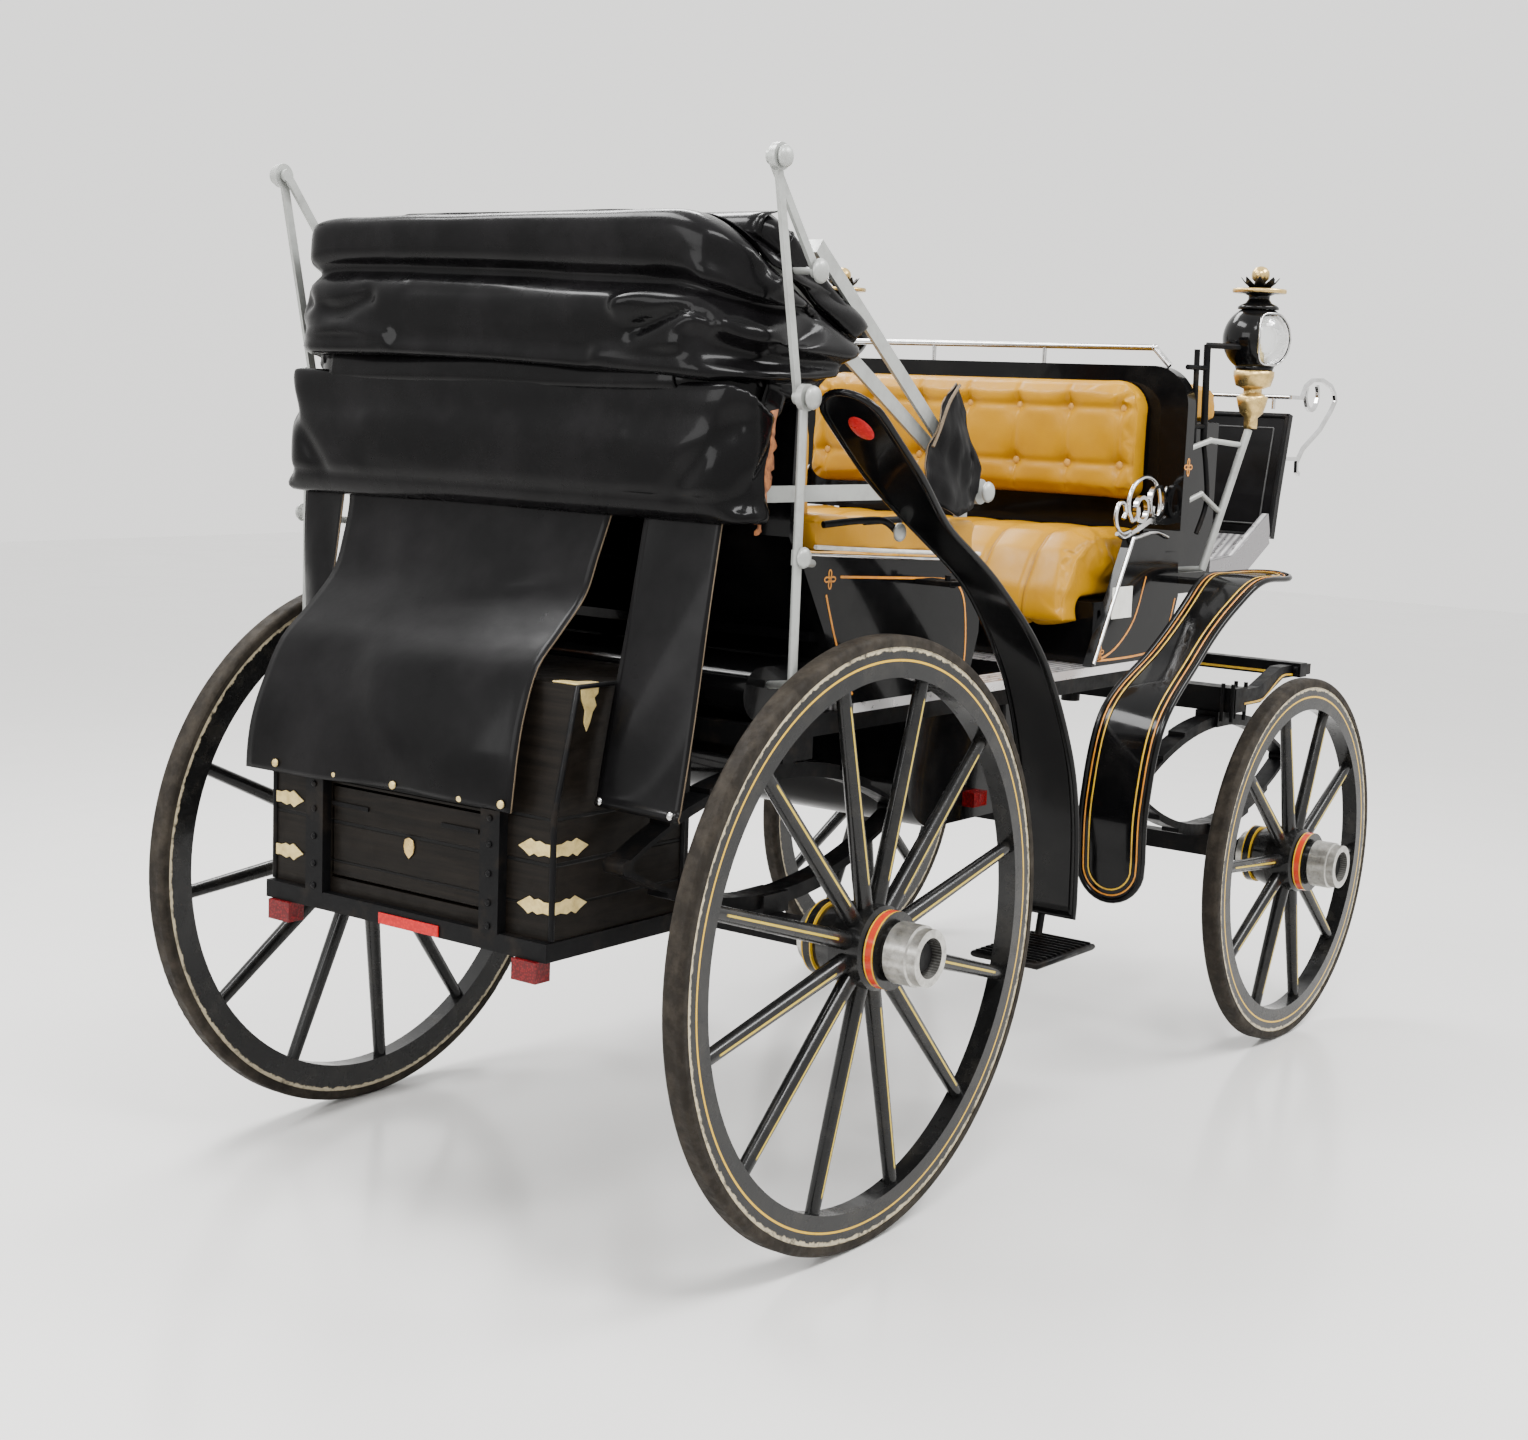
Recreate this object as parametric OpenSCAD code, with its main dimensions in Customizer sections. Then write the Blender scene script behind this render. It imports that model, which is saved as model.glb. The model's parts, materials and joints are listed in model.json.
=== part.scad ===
// Open horse drawn carriage with facing passenger seats, a driver's seat,
// a folding leather hood and a travelling trunk. Millimetres, +X forward, +Z up.

/* [Wheels] */
// Radius of a rear wheel over its tyre
rear_wheel_r = 550; // [520:5:580]
// Radius of a front wheel over its tyre
front_wheel_r = 440; // [400:5:450]
// Distance between the front and rear axles
wheelbase = 1840; // [1780:10:2100]
// Distance between the middles of the rear tyres
rear_track = 1266; // [1256:2:1400]
// Distance between the middles of the front tyres
front_track = 1250; // [1240:2:1380]
// Width of a tyre
tyre_w = 42; // [34:1:50]
// Radial thickness of a tyre
tyre_t = 20; // [16:1:30]
// Radial depth of the wooden felloe
felloe_t = 54; // [45:1:70]
// Width of the wooden felloe
felloe_w = 38; // [30:1:46]
// Number of spokes in a rear wheel
rear_spokes = 12; // [10:2:16]
// Number of spokes in a front wheel
front_spokes = 10; // [8:2:14]
// Radius of a spoke where it leaves the hub
spoke_r = 17; // [13:1:20]
// Radius of a spoke at the felloe
spoke_tip_r = 13; // [10:1:16]
// Radius of the hub barrel
hub_r = 68; // [58:1:76]
// Radius of the steel hub cap
cap_r = 55; // [45:1:58]
// Reach of the hub cap from the middle of the tyre
cap_reach = 132; // [120:1:140]
// Radius of the axle arm inside the hub
axle_r = 19; // [15:1:24]
// Radial running clearance of hub on axle arm
axle_clear = 0.05; // [0.02:0.01:0.1]

/* [Body] */
// Height of the floor's top face
floor_z = 955; // [940:5:990]
// Thickness of the floor and seat boards
board_t = 18; // [12:1:25]
// Half width of the body over its side panels
body_half_w = 500; // [490:1:520]
// Thickness of a side panel
panel_t = 22; // [15:1:26]
// Height of the passenger seat boards' top face
seat_board_z = 1090; // [1070:5:1110]
// Height of the foot well's underside
well_z = 660; // [640:5:760]
// Half width of the seat back frame of the front seat
seat_frame_half_w = 530; // [500:5:560]
// Top of the seat back frame of the front seat
seat_frame_top = 1600; // [1540:5:1650]
// Top of the dash board
dash_top = 1517; // [1450:5:1600]

/* [Hood] */
// Height of the hood pivot
hood_pivot_z = 1335; // [1320:5:1350]
// Half width of the folded hood leather
hood_half_w = 560; // [550:1:565]
// Angle of the main bow above the horizontal when folded
main_bow_angle = 29.3; // [28:0.1:31]
// Angle of the front bow above the horizontal when folded
front_bow_angle = 37.5; // [36.5:0.1:39]
// Height of a flat bow iron
bow_h = 28; // [20:1:32]
// Thickness of a flat bow iron
bow_t = 7; // [5:0.5:8]

/* [Trunk] */
// Width of the trunk
trunk_w = 680; // [600:5:720]
// Height of the trunk's underside
trunk_z = 590; // [585:1:640]
// Height of the trunk's top
trunk_top = 1015; // [980:5:1020]
// Thickness of the trunk's planks
plank_t = 14; // [10:1:20]
// Half width of the drop-down trunk door
door_half_w = 185; // [150:5:188]

/* [Steering] */
// Half length of an elliptic spring between its eyes
spring_half = 410; // [360:5:430]
// Distance of each spring from the middle
spring_y = 400; // [380:5:405]
// Radius of the turntable ring
ring_r = 200; // [170:5:230]
// Radius of the king pin
king_pin_r = 14; // [10:1:20]
// Reach of the dash scrolls in front of the front axle
front_reach = 580; // [560:5:640]
// Reach of the shaft lugs in front of the front axle
lug_reach = 400; // [390:5:520]

/* [Hidden] */
$fn = 48;

// The whole carriage is centred along X: every shape below is drawn with x = 0
// at the rear axle and then shifted by this much.
overall_l = rear_wheel_r + wheelbase + front_reach;
shift_x = rear_wheel_r - overall_l / 2;
seat_gap = 0.3;
rest_gap = 0.2;
move_gap = 6;
fx = wheelbase;

module placed() translate([shift_x, 0, 0]) children();

// Draws its children on the left side and mirrored on the right side.
module both() {
    children();
    mirror([0, 1, 0]) children();
}

// Extrudes a side view outline (x, z) between two distances from the middle.
module side_extrude(y0, y1) {
    translate([0, y1, 0]) rotate([90, 0, 0]) linear_extrude(y1 - y0) children();
}

// A straight round rod from p to q.
module rod(p, q, r) {
    d = q - p;
    flat = norm([d[0], d[1]]);
    translate(p) rotate([0, atan2(flat, d[2]), atan2(d[1], d[0])]) cylinder(h = norm(d), r = r);
}

// A bent round rod through a list of points, with a small forged swell at each bend.
module bent_rod(points, r) {
    for (i = [0 : len(points) - 2]) rod(points[i], points[i + 1], r);
    for (i = [1 : 1 : len(points) - 2]) translate(points[i]) sphere(r = 1.15 * r);
}

function unit(v) = v / norm(v);
function left_of(v) = [-v[1], v[0]];

// The mitred offset direction at one point of a bent line, for an offset of one.
function miter(points, i) =
    let (n = len(points) - 1, before = left_of(unit(points[max(i, 1)] - points[max(i, 1) - 1])),
        after = left_of(unit(points[min(i, n - 1) + 1] - points[min(i, n - 1)])),
        m = unit(before + after)) m / (m * before);

// A flat strip of even thickness along a bent line in the side view.
module strip(points, t) {
    n = len(points) - 1;
    polygon(concat([for (i = [0 : n]) points[i] + miter(points, i) * t / 2],
        [for (i = [n : -1 : 0]) points[i] - miter(points, i) * t / 2]));
}

// Points along a round arc in the side view.
function arc_points(c, r, a0, a1, n) =
    [for (i = [0 : n]) let (a = a0 + (a1 - a0) * i / n) [c[0] + r * cos(a), c[1] + r * sin(a)]];

// ---------------------------------------------------------------- wheels

hub_inner = 118;
band_w = 20;
recess_r = 36;
recess_d = 26;

// The turned hub, in the half plane (radius, reach outward).
module hub_profile() {
    polygon([
        [0, -hub_inner], [cap_r - 5, -hub_inner], [cap_r - 5, -hub_inner + 22],
        [hub_r, -hub_inner + 22], [hub_r, -hub_inner + 22 + band_w],
        [hub_r - 6, -hub_inner + 22 + band_w], [hub_r + 8, -32], [hub_r + 8, 30],
        [hub_r - 4, 38], [hub_r + 2, 38], [hub_r + 2, 38 + band_w], [cap_r - 8, 38 + band_w],
        [cap_r - 8, 68], [cap_r, 68], [cap_r, cap_reach - 20], [cap_r - 4, cap_reach - 18],
        [cap_r - 4, cap_reach], [recess_r, cap_reach], [recess_r, cap_reach - recess_d],
        [0, cap_reach - recess_d]]);
}

module wheel_body(r, spokes, phase) {
    felloe_r = r - tyre_t - felloe_t;
    color("black") difference() {
        union() {
            rotate_extrude($fn = 96) translate([felloe_r, -felloe_w / 2])
                square([felloe_t, felloe_w]);
            rotate_extrude($fn = 96) hub_profile();
            for (i = [0 : spokes - 1]) rotate([0, 0, (i + phase) * 360 / spokes])
                translate([hub_r - 8, 0, 0]) rotate([0, 90, 0])
                    cylinder(h = felloe_r - hub_r + 20, r1 = spoke_r, r2 = spoke_tip_r);
        }
        translate([0, 0, -hub_inner - 1])
            cylinder(h = hub_inner + cap_reach, r = axle_r + axle_clear);
    }
}

module tyre_ring(r) {
    round_r = tyre_t / 2;
    color("dimgray") rotate_extrude($fn = 96) difference() {
        union() {
            translate([r - tyre_t + rest_gap, -tyre_w / 2])
                square([tyre_t - rest_gap - round_r, tyre_w]);
            translate([r - round_r - 1, -tyre_w / 2 + round_r])
                square([round_r + 1, tyre_w - 2 * round_r]);
            for (s = [-1, 1]) translate([r - round_r, s * (tyre_w / 2 - round_r)])
                circle(r = round_r);
        }
        translate([r, -tyre_w]) square([tyre_w, 2 * tyre_w]);
    }
}

// Places a wheel part with its outward side at the right (-1) or left (1).
module at_wheel(x, track, r, side) {
    placed() translate([x, side * track / 2, r]) rotate([-side * 90, 0, 0]) children();
}

// How far each wheel has turned, as a part of the angle between two spokes.
rear_right_phase = 0.45;
rear_left_phase = 0.83;
front_right_phase = 0.87;
front_left_phase = 0.2;

module rear_wheel(side) at_wheel(0, rear_track, rear_wheel_r, side)
    wheel_body(rear_wheel_r, rear_spokes, side < 0 ? rear_right_phase : rear_left_phase);
module front_wheel(side) at_wheel(fx, front_track, front_wheel_r, side)
    wheel_body(front_wheel_r, front_spokes, side < 0 ? front_right_phase : front_left_phase);
module rear_tyre(side) at_wheel(0, rear_track, rear_wheel_r, side) tyre_ring(rear_wheel_r);
module front_tyre(side) at_wheel(fx, front_track, front_wheel_r, side) tyre_ring(front_wheel_r);

// ---------------------------------------------------------------- axles and springs

axle_h = 44;
collar_t = 10;

// A square axle beam with round arms, collars and end discs, along Y at the wheel centre.
module axle_shape(track, r) {
    inner = track / 2 - hub_inner - 1;
    tip = track / 2 + cap_reach - recess_d + 1;
    translate([-axle_h / 2, -inner + collar_t, r - axle_h / 2])
        cube([axle_h, 2 * (inner - collar_t), axle_h]);
    both() {
        translate([0, inner - collar_t, r]) rotate([-90, 0, 0]) cylinder(h = collar_t, r = 36);
        translate([0, inner - 1, r]) rotate([-90, 0, 0]) cylinder(h = tip - inner + 1, r = axle_r);
        translate([0, tip, r]) rotate([-90, 0, 0]) cylinder(h = 12, r = 25);
    }
}

leaf_t = 9;
spring_w = 45;

// One curved half of an elliptic spring, its eyes at the origin's height.
module half_spring(half, rise) {
    big_r = (half * half + rise * rise) / (2 * rise);
    translate([0, rise - big_r]) for (i = [0 : 2]) intersection() {
        difference() {
            circle(r = big_r + (i + 1) * leaf_t, $fn = 96);
            circle(r = big_r + i * leaf_t, $fn = 96);
        }
        translate([-half * (1 - 0.26 * i), 0])
            square([2 * half * (1 - 0.26 * i), 2 * big_r]);
    }
}

// A full elliptic spring standing between two heights, with its clamps.
module elliptic_spring(half, z0, z1) {
    mid = (z0 + z1) / 2;
    clamp_h = 20;
    rise = (z1 - z0) / 2 - clamp_h - 3 * leaf_t + 8;
    side_extrude(spring_y - spring_w / 2, spring_y + spring_w / 2) translate([0, mid]) {
        half_spring(half, rise);
        mirror([0, 1]) half_spring(half, rise);
        for (s = [-1, 1]) translate([s * half, 0]) circle(r = 14);
    }
    for (z = [z0, z1 - clamp_h - 2 * leaf_t])
        translate([-38, spring_y - spring_w / 2 - 8, z])
            cube([76, spring_w + 16, clamp_h + 2 * leaf_t]);
}

rear_spring_z0 = rear_wheel_r + axle_h / 2 + rest_gap;
front_spring_z0 = front_wheel_r + axle_h / 2 + rest_gap;
transom_z = 780;
transom_h = 60;
rear_bolster_z = floor_z - board_t - 80;

module rear_axle() color("black") placed() axle_shape(rear_track, rear_wheel_r);
module front_axle() color("black") placed() translate([fx, 0, 0])
    axle_shape(front_track, front_wheel_r);
module rear_springs() color("black") placed() both()
    elliptic_spring(spring_half, rear_spring_z0, rear_bolster_z - rest_gap);
module front_springs() color("black") placed() translate([fx, 0, 0]) both()
    elliptic_spring(spring_half, front_spring_z0, transom_z - rest_gap);

// ---------------------------------------------------------------- fore carriage

ring_t = 12;
ring_gap = 1;
transom_top = transom_z + transom_h;
splinter_z = 845;
splinter_h = 35;
splinter_x = fx + 300;
lug_y = 450;
lug_bore_r = 8;

module splinter_frame() {
    color("black") placed() difference() {
        union() {
            translate([fx - 30, -470, transom_z]) cube([60, 940, transom_h]);
            translate([fx, 0, transom_top]) difference() {
                cylinder(h = ring_t, r = ring_r, $fn = 96);
                translate([0, 0, -1]) cylinder(h = ring_t + 2, r = ring_r - 30, $fn = 96);
            }
            both() side_extrude(440, 470)
                polygon([[fx, transom_z + 15], [fx + 115, transom_z + 15],
                    [fx + 240, splinter_z], [splinter_x + 10, splinter_z],
                    [splinter_x + 10, splinter_z + splinter_h - 5],
                    [fx + 225, splinter_z + splinter_h - 5],
                    [fx + 105, transom_top - 5], [fx, transom_top - 5]]);
            translate([splinter_x, -490, splinter_z]) cube([40, 980, splinter_h]);
            both() translate([splinter_x + 39, lug_y - 25, splinter_z])
                cube([fx + lug_reach - splinter_x - 39, 50, splinter_h - 8]);
        }
        translate([fx, 0, transom_z - 1]) cylinder(h = transom_h + 2, r = king_pin_r + 0.05);
        both() translate([fx + lug_reach - 22, lug_y, splinter_z - 1])
            cylinder(h = splinter_h, r = lug_bore_r);
    }
}

// ---------------------------------------------------------------- chassis

rail_h = 40;
rail_top = floor_z - board_t - rest_gap;
rail_z = rail_top - rail_h;
outer_rail_y = 425;
inner_rail_y = 200;
rail_w = 40;
rail_back = -150;
rail_cross = 1230;
bed_z = transom_top + ring_t + ring_gap;

module chassis_frame() {
    color("black") placed() {
        both() translate([rail_back, outer_rail_y, rail_z])
            cube([rail_cross + 60 - rail_back, rail_w, rail_h]);
        translate([rail_back, -outer_rail_y - 1, rail_z]) cube([50, 2 * outer_rail_y + 2, rail_h]);
        translate([rail_cross, -outer_rail_y - 1, rail_z])
            cube([60, 2 * outer_rail_y + 2, rail_h]);
        both() translate([rail_cross, inner_rail_y - rail_w / 2, rail_z])
            cube([fx + 35 - rail_cross, rail_w, rail_h]);
        translate([-45, -outer_rail_y - rail_w, rear_bolster_z])
            cube([90, 2 * (outer_rail_y + rail_w), rail_z - rear_bolster_z + 1]);
        translate([fx - 35, -inner_rail_y - 30, bed_z + ring_t - 1])
            cube([70, 2 * inner_rail_y + 60, rail_top - bed_z - ring_t + 1]);
        translate([fx, 0, bed_z]) difference() {
            cylinder(h = ring_t, r = ring_r, $fn = 96);
            translate([0, 0, -1]) cylinder(h = ring_t + 2, r = ring_r - 30, $fn = 96);
        }
        translate([fx, 0, transom_z - 14]) cylinder(h = rail_top - transom_z, r = king_pin_r);
        translate([fx, 0, transom_z - 22]) cylinder(h = 20, r = king_pin_r + 10);
    }
}

// ---------------------------------------------------------------- body

inner_half_w = body_half_w - panel_t;
well_x0 = 430;
well_x1 = 930;
well_half_w = outer_rail_y - 3;
floor_x0 = 118;
floor_x1 = 1330;
front_riser_x = 1046;
rear_riser_x = 440;

module body_floor() {
    color("silver") placed() difference() {
        translate([floor_x0, -body_half_w, floor_z - board_t])
            cube([floor_x1 - floor_x0, 2 * body_half_w, board_t]);
        translate([well_x0, -well_half_w, floor_z - board_t - 1])
            cube([well_x1 - well_x0, 2 * well_half_w, board_t + 2]);
    }
}

// The foot well hangs in the floor's opening, open at the top, with round lower corners.
module foot_well() {
    wall = 15;
    corner = 110;
    module outline(d) {
        intersection() {
            translate([well_x0 + seat_gap + d, well_z + d])
                square([well_x1 - well_x0 - 2 * (seat_gap + d), 2 * (floor_z - well_z)]);
            union() {
                translate([well_x0, well_z + corner])
                    square([well_x1 - well_x0, 2 * (floor_z - well_z)]);
                translate([well_x0 + corner, well_z]) square([well_x1 - well_x0 - 2 * corner, corner]);
                for (x = [well_x0 + corner, well_x1 - corner])
                    translate([x, well_z + corner]) circle(r = corner - d);
            }
        }
    }
    color("black") placed() difference() {
        side_extrude(-well_half_w + seat_gap, well_half_w - seat_gap) outline(0);
        side_extrude(-well_half_w + wall, well_half_w - wall) outline(wall);
        translate([well_x0 - 1, -body_half_w, floor_z - rest_gap])
            cube([well_x1 - well_x0 + 2, 2 * body_half_w, 600]);
    }
}

// Rear quarter panels beside the rear seat, rounded at their front top corner.
module rear_side_panels() {
    color("black") placed() both() side_extrude(inner_half_w, body_half_w) {
        polygon([[-72, 1235], [450, 1207], [540, 1120], [540, 1060], [505, floor_z + rest_gap],
            [floor_x0, floor_z + rest_gap], [52, 1030]]);
        intersection() {
            translate([452, 1119]) circle(r = 88);
            translate([452, 1119]) square(200);
        }
    }
}

// Back panel, seat board, riser and the boot behind the rear seat.
module rear_seat_shell() {
    color("black") placed() {
        side_extrude(-inner_half_w + rest_gap, inner_half_w - rest_gap) {
            strip([[130, floor_z + 12], [62, 1035], [-60, 1262], [-52, 1510]], 20);
            translate([0, seat_board_z - board_t])
                square([rear_riser_x, board_t]);
            translate([rear_riser_x - board_t, floor_z + rest_gap])
                square([board_t, seat_board_z - floor_z - rest_gap]);
        }
        difference() {
            side_extrude(-450, 450) union() {
                translate([-100, 937]) square([148, 95]);
                translate([-100, 984.5]) circle(r = 47.5);
            }
            side_extrude(-435, 435) union() {
                translate([-100, 950]) square([140, 69]);
                translate([-100, 984.5]) circle(r = 34.5);
            }
        }
    }
}

// Side panels beside the front passenger seat.
module front_side_panels() {
    color("black") placed() both() side_extrude(inner_half_w, body_half_w)
        polygon([[1010, floor_z + rest_gap], [1150, 1205], [1160, 1228], [1270, 1238], [1322, 1225],
            [1322, 1190], [1385, 1190], [1400, 1090], [1370, 1010], [1315, floor_z + rest_gap]]);
}

box_top = 1478;
box_front = 1720;
box_back = 1366.3;

// Seat riser and board of the front passenger seat and the driver's box behind it.
module front_seat_box() {
    color("black") placed() {
        side_extrude(-inner_half_w + rest_gap, inner_half_w - rest_gap) {
            translate([front_riser_x, floor_z + rest_gap])
                square([board_t, seat_board_z - floor_z - rest_gap]);
            translate([front_riser_x, seat_board_z - board_t])
                square([1366 - front_riser_x, board_t]);
            strip([[1320, floor_z + 12], [1375, 1040], [1375, 1100]], 20);
        }
        difference() {
            side_extrude(-420, 420)
                polygon([[box_back, 1080], [box_front, 1080], [box_front, box_top], [box_back, box_top]]);
            side_extrude(-405, 405)
                polygon([[1382, 1095], [box_front - 15, 1095], [box_front - 15, box_top - 15],
                    [1382, box_top - 15]]);
        }
    }
}

// Black surround that carries the front passenger seat's back.
module front_seat_frame() {
    corner = 90;
    color("black") placed() translate([1328, 0, 0]) rotate([90, 0, 90]) linear_extrude(38)
        union() {
            translate([-seat_frame_half_w, 1239.3])
                square([2 * seat_frame_half_w, seat_frame_top - corner - 1239.3]);
            translate([-seat_frame_half_w + corner, seat_frame_top - corner - 1])
                square([2 * (seat_frame_half_w - corner), corner + 1]);
            for (s = [-1, 1])
                translate([s * (seat_frame_half_w - corner), seat_frame_top - corner])
                    circle(r = corner);
        }
}

// ---------------------------------------------------------------- cushions

module rear_seat_cushion() {
    base = seat_board_z + seat_gap;
    color("goldenrod") placed() side_extrude(-455, 455) difference() {
        union() {
            polygon([[46, base], [450, base], [450, 1143], [412, 1202], [-12, 1202]]);
            translate([412, 1152]) circle(r = 50);
        }
        square([600, base]);
    }
}

module rear_seat_back() {
    color("goldenrod") placed() side_extrude(-460, 460)
        polygon([[-41.5, 1262], [-41.5, 1515], [-20, 1530], [18, 1525], [24, 1500], [40, 1240],
            [18, 1203], [-9, 1203]]);
}

module arm_pads() {
    color("goldenrod") placed() both() side_extrude(462, 505)
        polygon([[-28, 1233], [502, 1204.6], [506, 1272], [495, 1282], [-20, 1304], [-35, 1290]]);
}

module front_seat_cushion() {
    color("goldenrod") placed() side_extrude(-455, 455)
        polygon([[front_riser_x - seat_gap, 1030], [front_riser_x - seat_gap, seat_board_z + seat_gap],
            [1327, seat_board_z + seat_gap], [1327, 1236], [1120, 1238], [1070, 1228],
            [1020, 1190], [975, 1110], [958, 1040], [965, 1030]]);
}

module front_seat_back() {
    color("goldenrod") placed() side_extrude(-452, 452)
        polygon([[1327.7, 1290], [1327.7, 1578], [1300, 1580], [1275, 1568], [1262, 1540],
            [1258, 1330], [1268, 1297], [1285, 1290]]);
}

module driver_seat() {
    color("goldenrod") placed() side_extrude(-405, 405)
        polygon([[1370, box_top + seat_gap], [1760, box_top + seat_gap], [1772, 1500],
            [1765, 1545], [1740, 1562], [1370, 1580]]);
}

// ---------------------------------------------------------------- driver's end

board_half_w = 420;

module footboard() {
    color("black") placed() {
        side_extrude(-board_half_w, board_half_w)
            strip([[box_front + 10.5, 1092], [1860, 1092], [2050, 1192]], 20);
        both() side_extrude(board_half_w - 18, board_half_w)
            polygon([[box_front + 0.5, 1095], [1860, 1095], [2056, 1198], [2036, 1258],
                [1850, 1160], [box_front + 0.5, 1150]]);
        both() side_extrude(inner_rail_y - 15, inner_rail_y + 15)
            strip([[1760, rail_top + 20.3], [1860, rail_top + 20.3], [1800, 1088]], 20);
    }
}

module dash_board() {
    color("black") placed() side_extrude(-board_half_w, board_half_w)
        strip([[2068.3, 1195], [2086, 1300], [2130, dash_top - 12]], 24);
}

// A flat scroll ring in the side view.
module scroll_ring(c, r, t) {
    translate(c) difference() {
        circle(r = r + t);
        circle(r = r - t);
    }
}

rail_r = 7;
scroll_t = 10;
seat_rail_z = 1640;

// Bright rails over the seat back and the dash, and the scrolls on the front arm panels.
module chrome_rails() {
    rail_x = 1347;
    end_y = seat_frame_half_w - 60;
    dash_x = 2130;
    dash_rail_z = dash_top + 31;
    scroll_x = fx + front_reach - scroll_t / 2;
    scroll_y = board_half_w - 6;
    color("gainsboro") placed() {
        bent_rod([[rail_x, -end_y, seat_frame_top + 1], [rail_x, -end_y + 40, seat_rail_z],
            [rail_x, end_y - 40, seat_rail_z], [rail_x, end_y, seat_frame_top + 1]], rail_r);
        for (y = [-150, 150])
            rod([rail_x, y, seat_frame_top + 0.3], [rail_x, y, seat_rail_z], rail_r - 2);
        rod([dash_x, -scroll_y, dash_rail_z], [dash_x, scroll_y, dash_rail_z], rail_r - 1);
        both() {
            for (y = [120, 370])
                rod([dash_x, y, dash_top + rest_gap], [dash_x, y, dash_rail_z], rail_r - 2);
            side_extrude(scroll_y - 4, scroll_y + 4) {
                strip([[dash_x, dash_rail_z], [2200, dash_rail_z], [2222, 1578], [2262, 1594],
                    [2320, 1596], [2380, 1582], [scroll_x - 8, 1562], [scroll_x, 1545],
                    [scroll_x - 22, 1520], [2329, 1469], [2230, 1420], [2196, 1385], [2198, 1362],
                    [2214, 1354]], scroll_t);
                strip(arc_points([2262, 1556], 38, 150, 400, 10), scroll_t);
                strip([[dash_x - 9.7, 1394], [2204, 1394]], scroll_t);
            }
        }
        both() side_extrude(484, 494) {
            scroll_ring([1215, 1287], 26, 4);
            scroll_ring([1286, 1302], 34, 4);
            strip([[1170, 1235.2], [1250, 1261], [1327.5, 1256]], 12);
        }
    }
}

fender_half_t = 6;

// Front wings: an outward flange at the top and a band that sweeps down to a round end.
module front_fenders() {
    end_x = 905;
    end_z = 560;
    flange_x = 1525;
    flange_z = 1136;
    fender_y = 630;
    fender_half_w = 75;
    end_r = fender_half_w - 0.5;
    color("black") placed() both() {
        side_extrude(fender_y - fender_half_w, fender_y + fender_half_w)
            strip([[end_x, end_z], [end_x, 700], [965, 870], [1140, 985], [1290, 1080],
                [1400, flange_z], [flange_x, flange_z]], 2 * fender_half_t);
        translate([end_x - fender_half_t, fender_y, end_z]) rotate([0, 90, 0])
            cylinder(h = 2 * fender_half_t, r = end_r);
        translate([flange_x, fender_y, flange_z - fender_half_t])
            cylinder(h = 2 * fender_half_t, r = end_r);
        translate([1440, 420.3, flange_z - 17]) cube([60, 140, 12]);
    }
}

// Rear wings: flared over the wheel and sweeping down in front of it.
module rear_fenders() {
    color("black") placed() both() {
        side_extrude(565, 690)
            strip([[-150, 1505], [-20, 1400], [130, 1290], [330, 1170], [490, 1020], [585, 860],
                [635, 700], [645, 500]], 2 * fender_half_t);
        translate([300, 500.3, 1163]) cube([60, 80, 12]);
    }
}

module step_plates() {
    color("black") placed() both() {
        translate([600, 490, 395]) cube([230, 150, 12]);
        bent_rod([[720, 504, 401], [728, 478, 560], [740, 445, rail_z - 1.2]], 8);
        bent_rod([[810, 520, 401], [880, 500, 560], [960, 445, rail_z - 2.2]], 8);
    }
}

// ---------------------------------------------------------------- lamps

lamp_x = 1560;
lamp_y = 573;
lamp_z = 1670;

module lamp_at() placed() both() translate([lamp_x, lamp_y, lamp_z]) children();

module lamps() {
    color("black") lamp_at() {
        rotate_extrude() polygon([[0, -200], [14, -200], [14, -175], [24, -165], [34, -130],
            [20, -120], [20, -112], [38, -104], [44, -80], [44, -72], [0, -72]]);
        difference() {
            sphere(r = 76);
            sphere(r = 71);
            translate([-100, -100, -100]) cube([200, 200, 40]);
            for (a = [0, 90, 180, 270]) rotate([0, 0, a + 45]) rotate([90, 0, 0])
                translate([0, 0, -100]) cylinder(h = 200, r = 48);
            translate([-100, -100, 66]) cube([200, 200, 40]);
        }
        rotate_extrude() polygon([[0, 66], [60, 66], [60, 76], [30, 84], [24, 96], [58, 104],
            [58, 110], [20, 116], [14, 128], [0, 128]]);
        translate([0, 0, 142]) sphere(r = 19);
        translate([0, 0, -62]) cylinder(h = 5, r = 44);
        translate([0, 0, -73]) cylinder(h = 12, r = 20);
    }
}

module lamp_glass() {
    color("white") lamp_at() difference() {
        sphere(r = 70);
        sphere(r = 67);
        translate([-100, -100, -100]) cube([200, 200, 43.5]);
        translate([-100, -100, 63]) cube([200, 200, 40]);
    }
}

module lamp_stays() {
    color("gray") placed() both() {
        rod([1470, 520, 1147], [1556, 571, 1466.8], 9);
        rod([1470, 421.3, 1138], [1470, 522, 1150], 7);
        bent_rod([[1374, 515, 1420], [1450, 530, 1440], [1538, 560, 1432]], 6);
        bent_rod([[1374, 512, 1300], [1430, 525, 1320], [1500, 538, 1280]], 6);
    }
}

// ---------------------------------------------------------------- trunk

trunk_x0 = -505;
trunk_x1 = -165;
door_z0 = trunk_z + 28;
door_h = 165;

module trunk_outline(d) {
    polygon([[trunk_x0 + d, trunk_z + d], [trunk_x0 + d, 800], [-455 + d, trunk_top - d],
        [trunk_x1 - d, trunk_top - d], [trunk_x1 - d, trunk_z + d]]);
}

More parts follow.
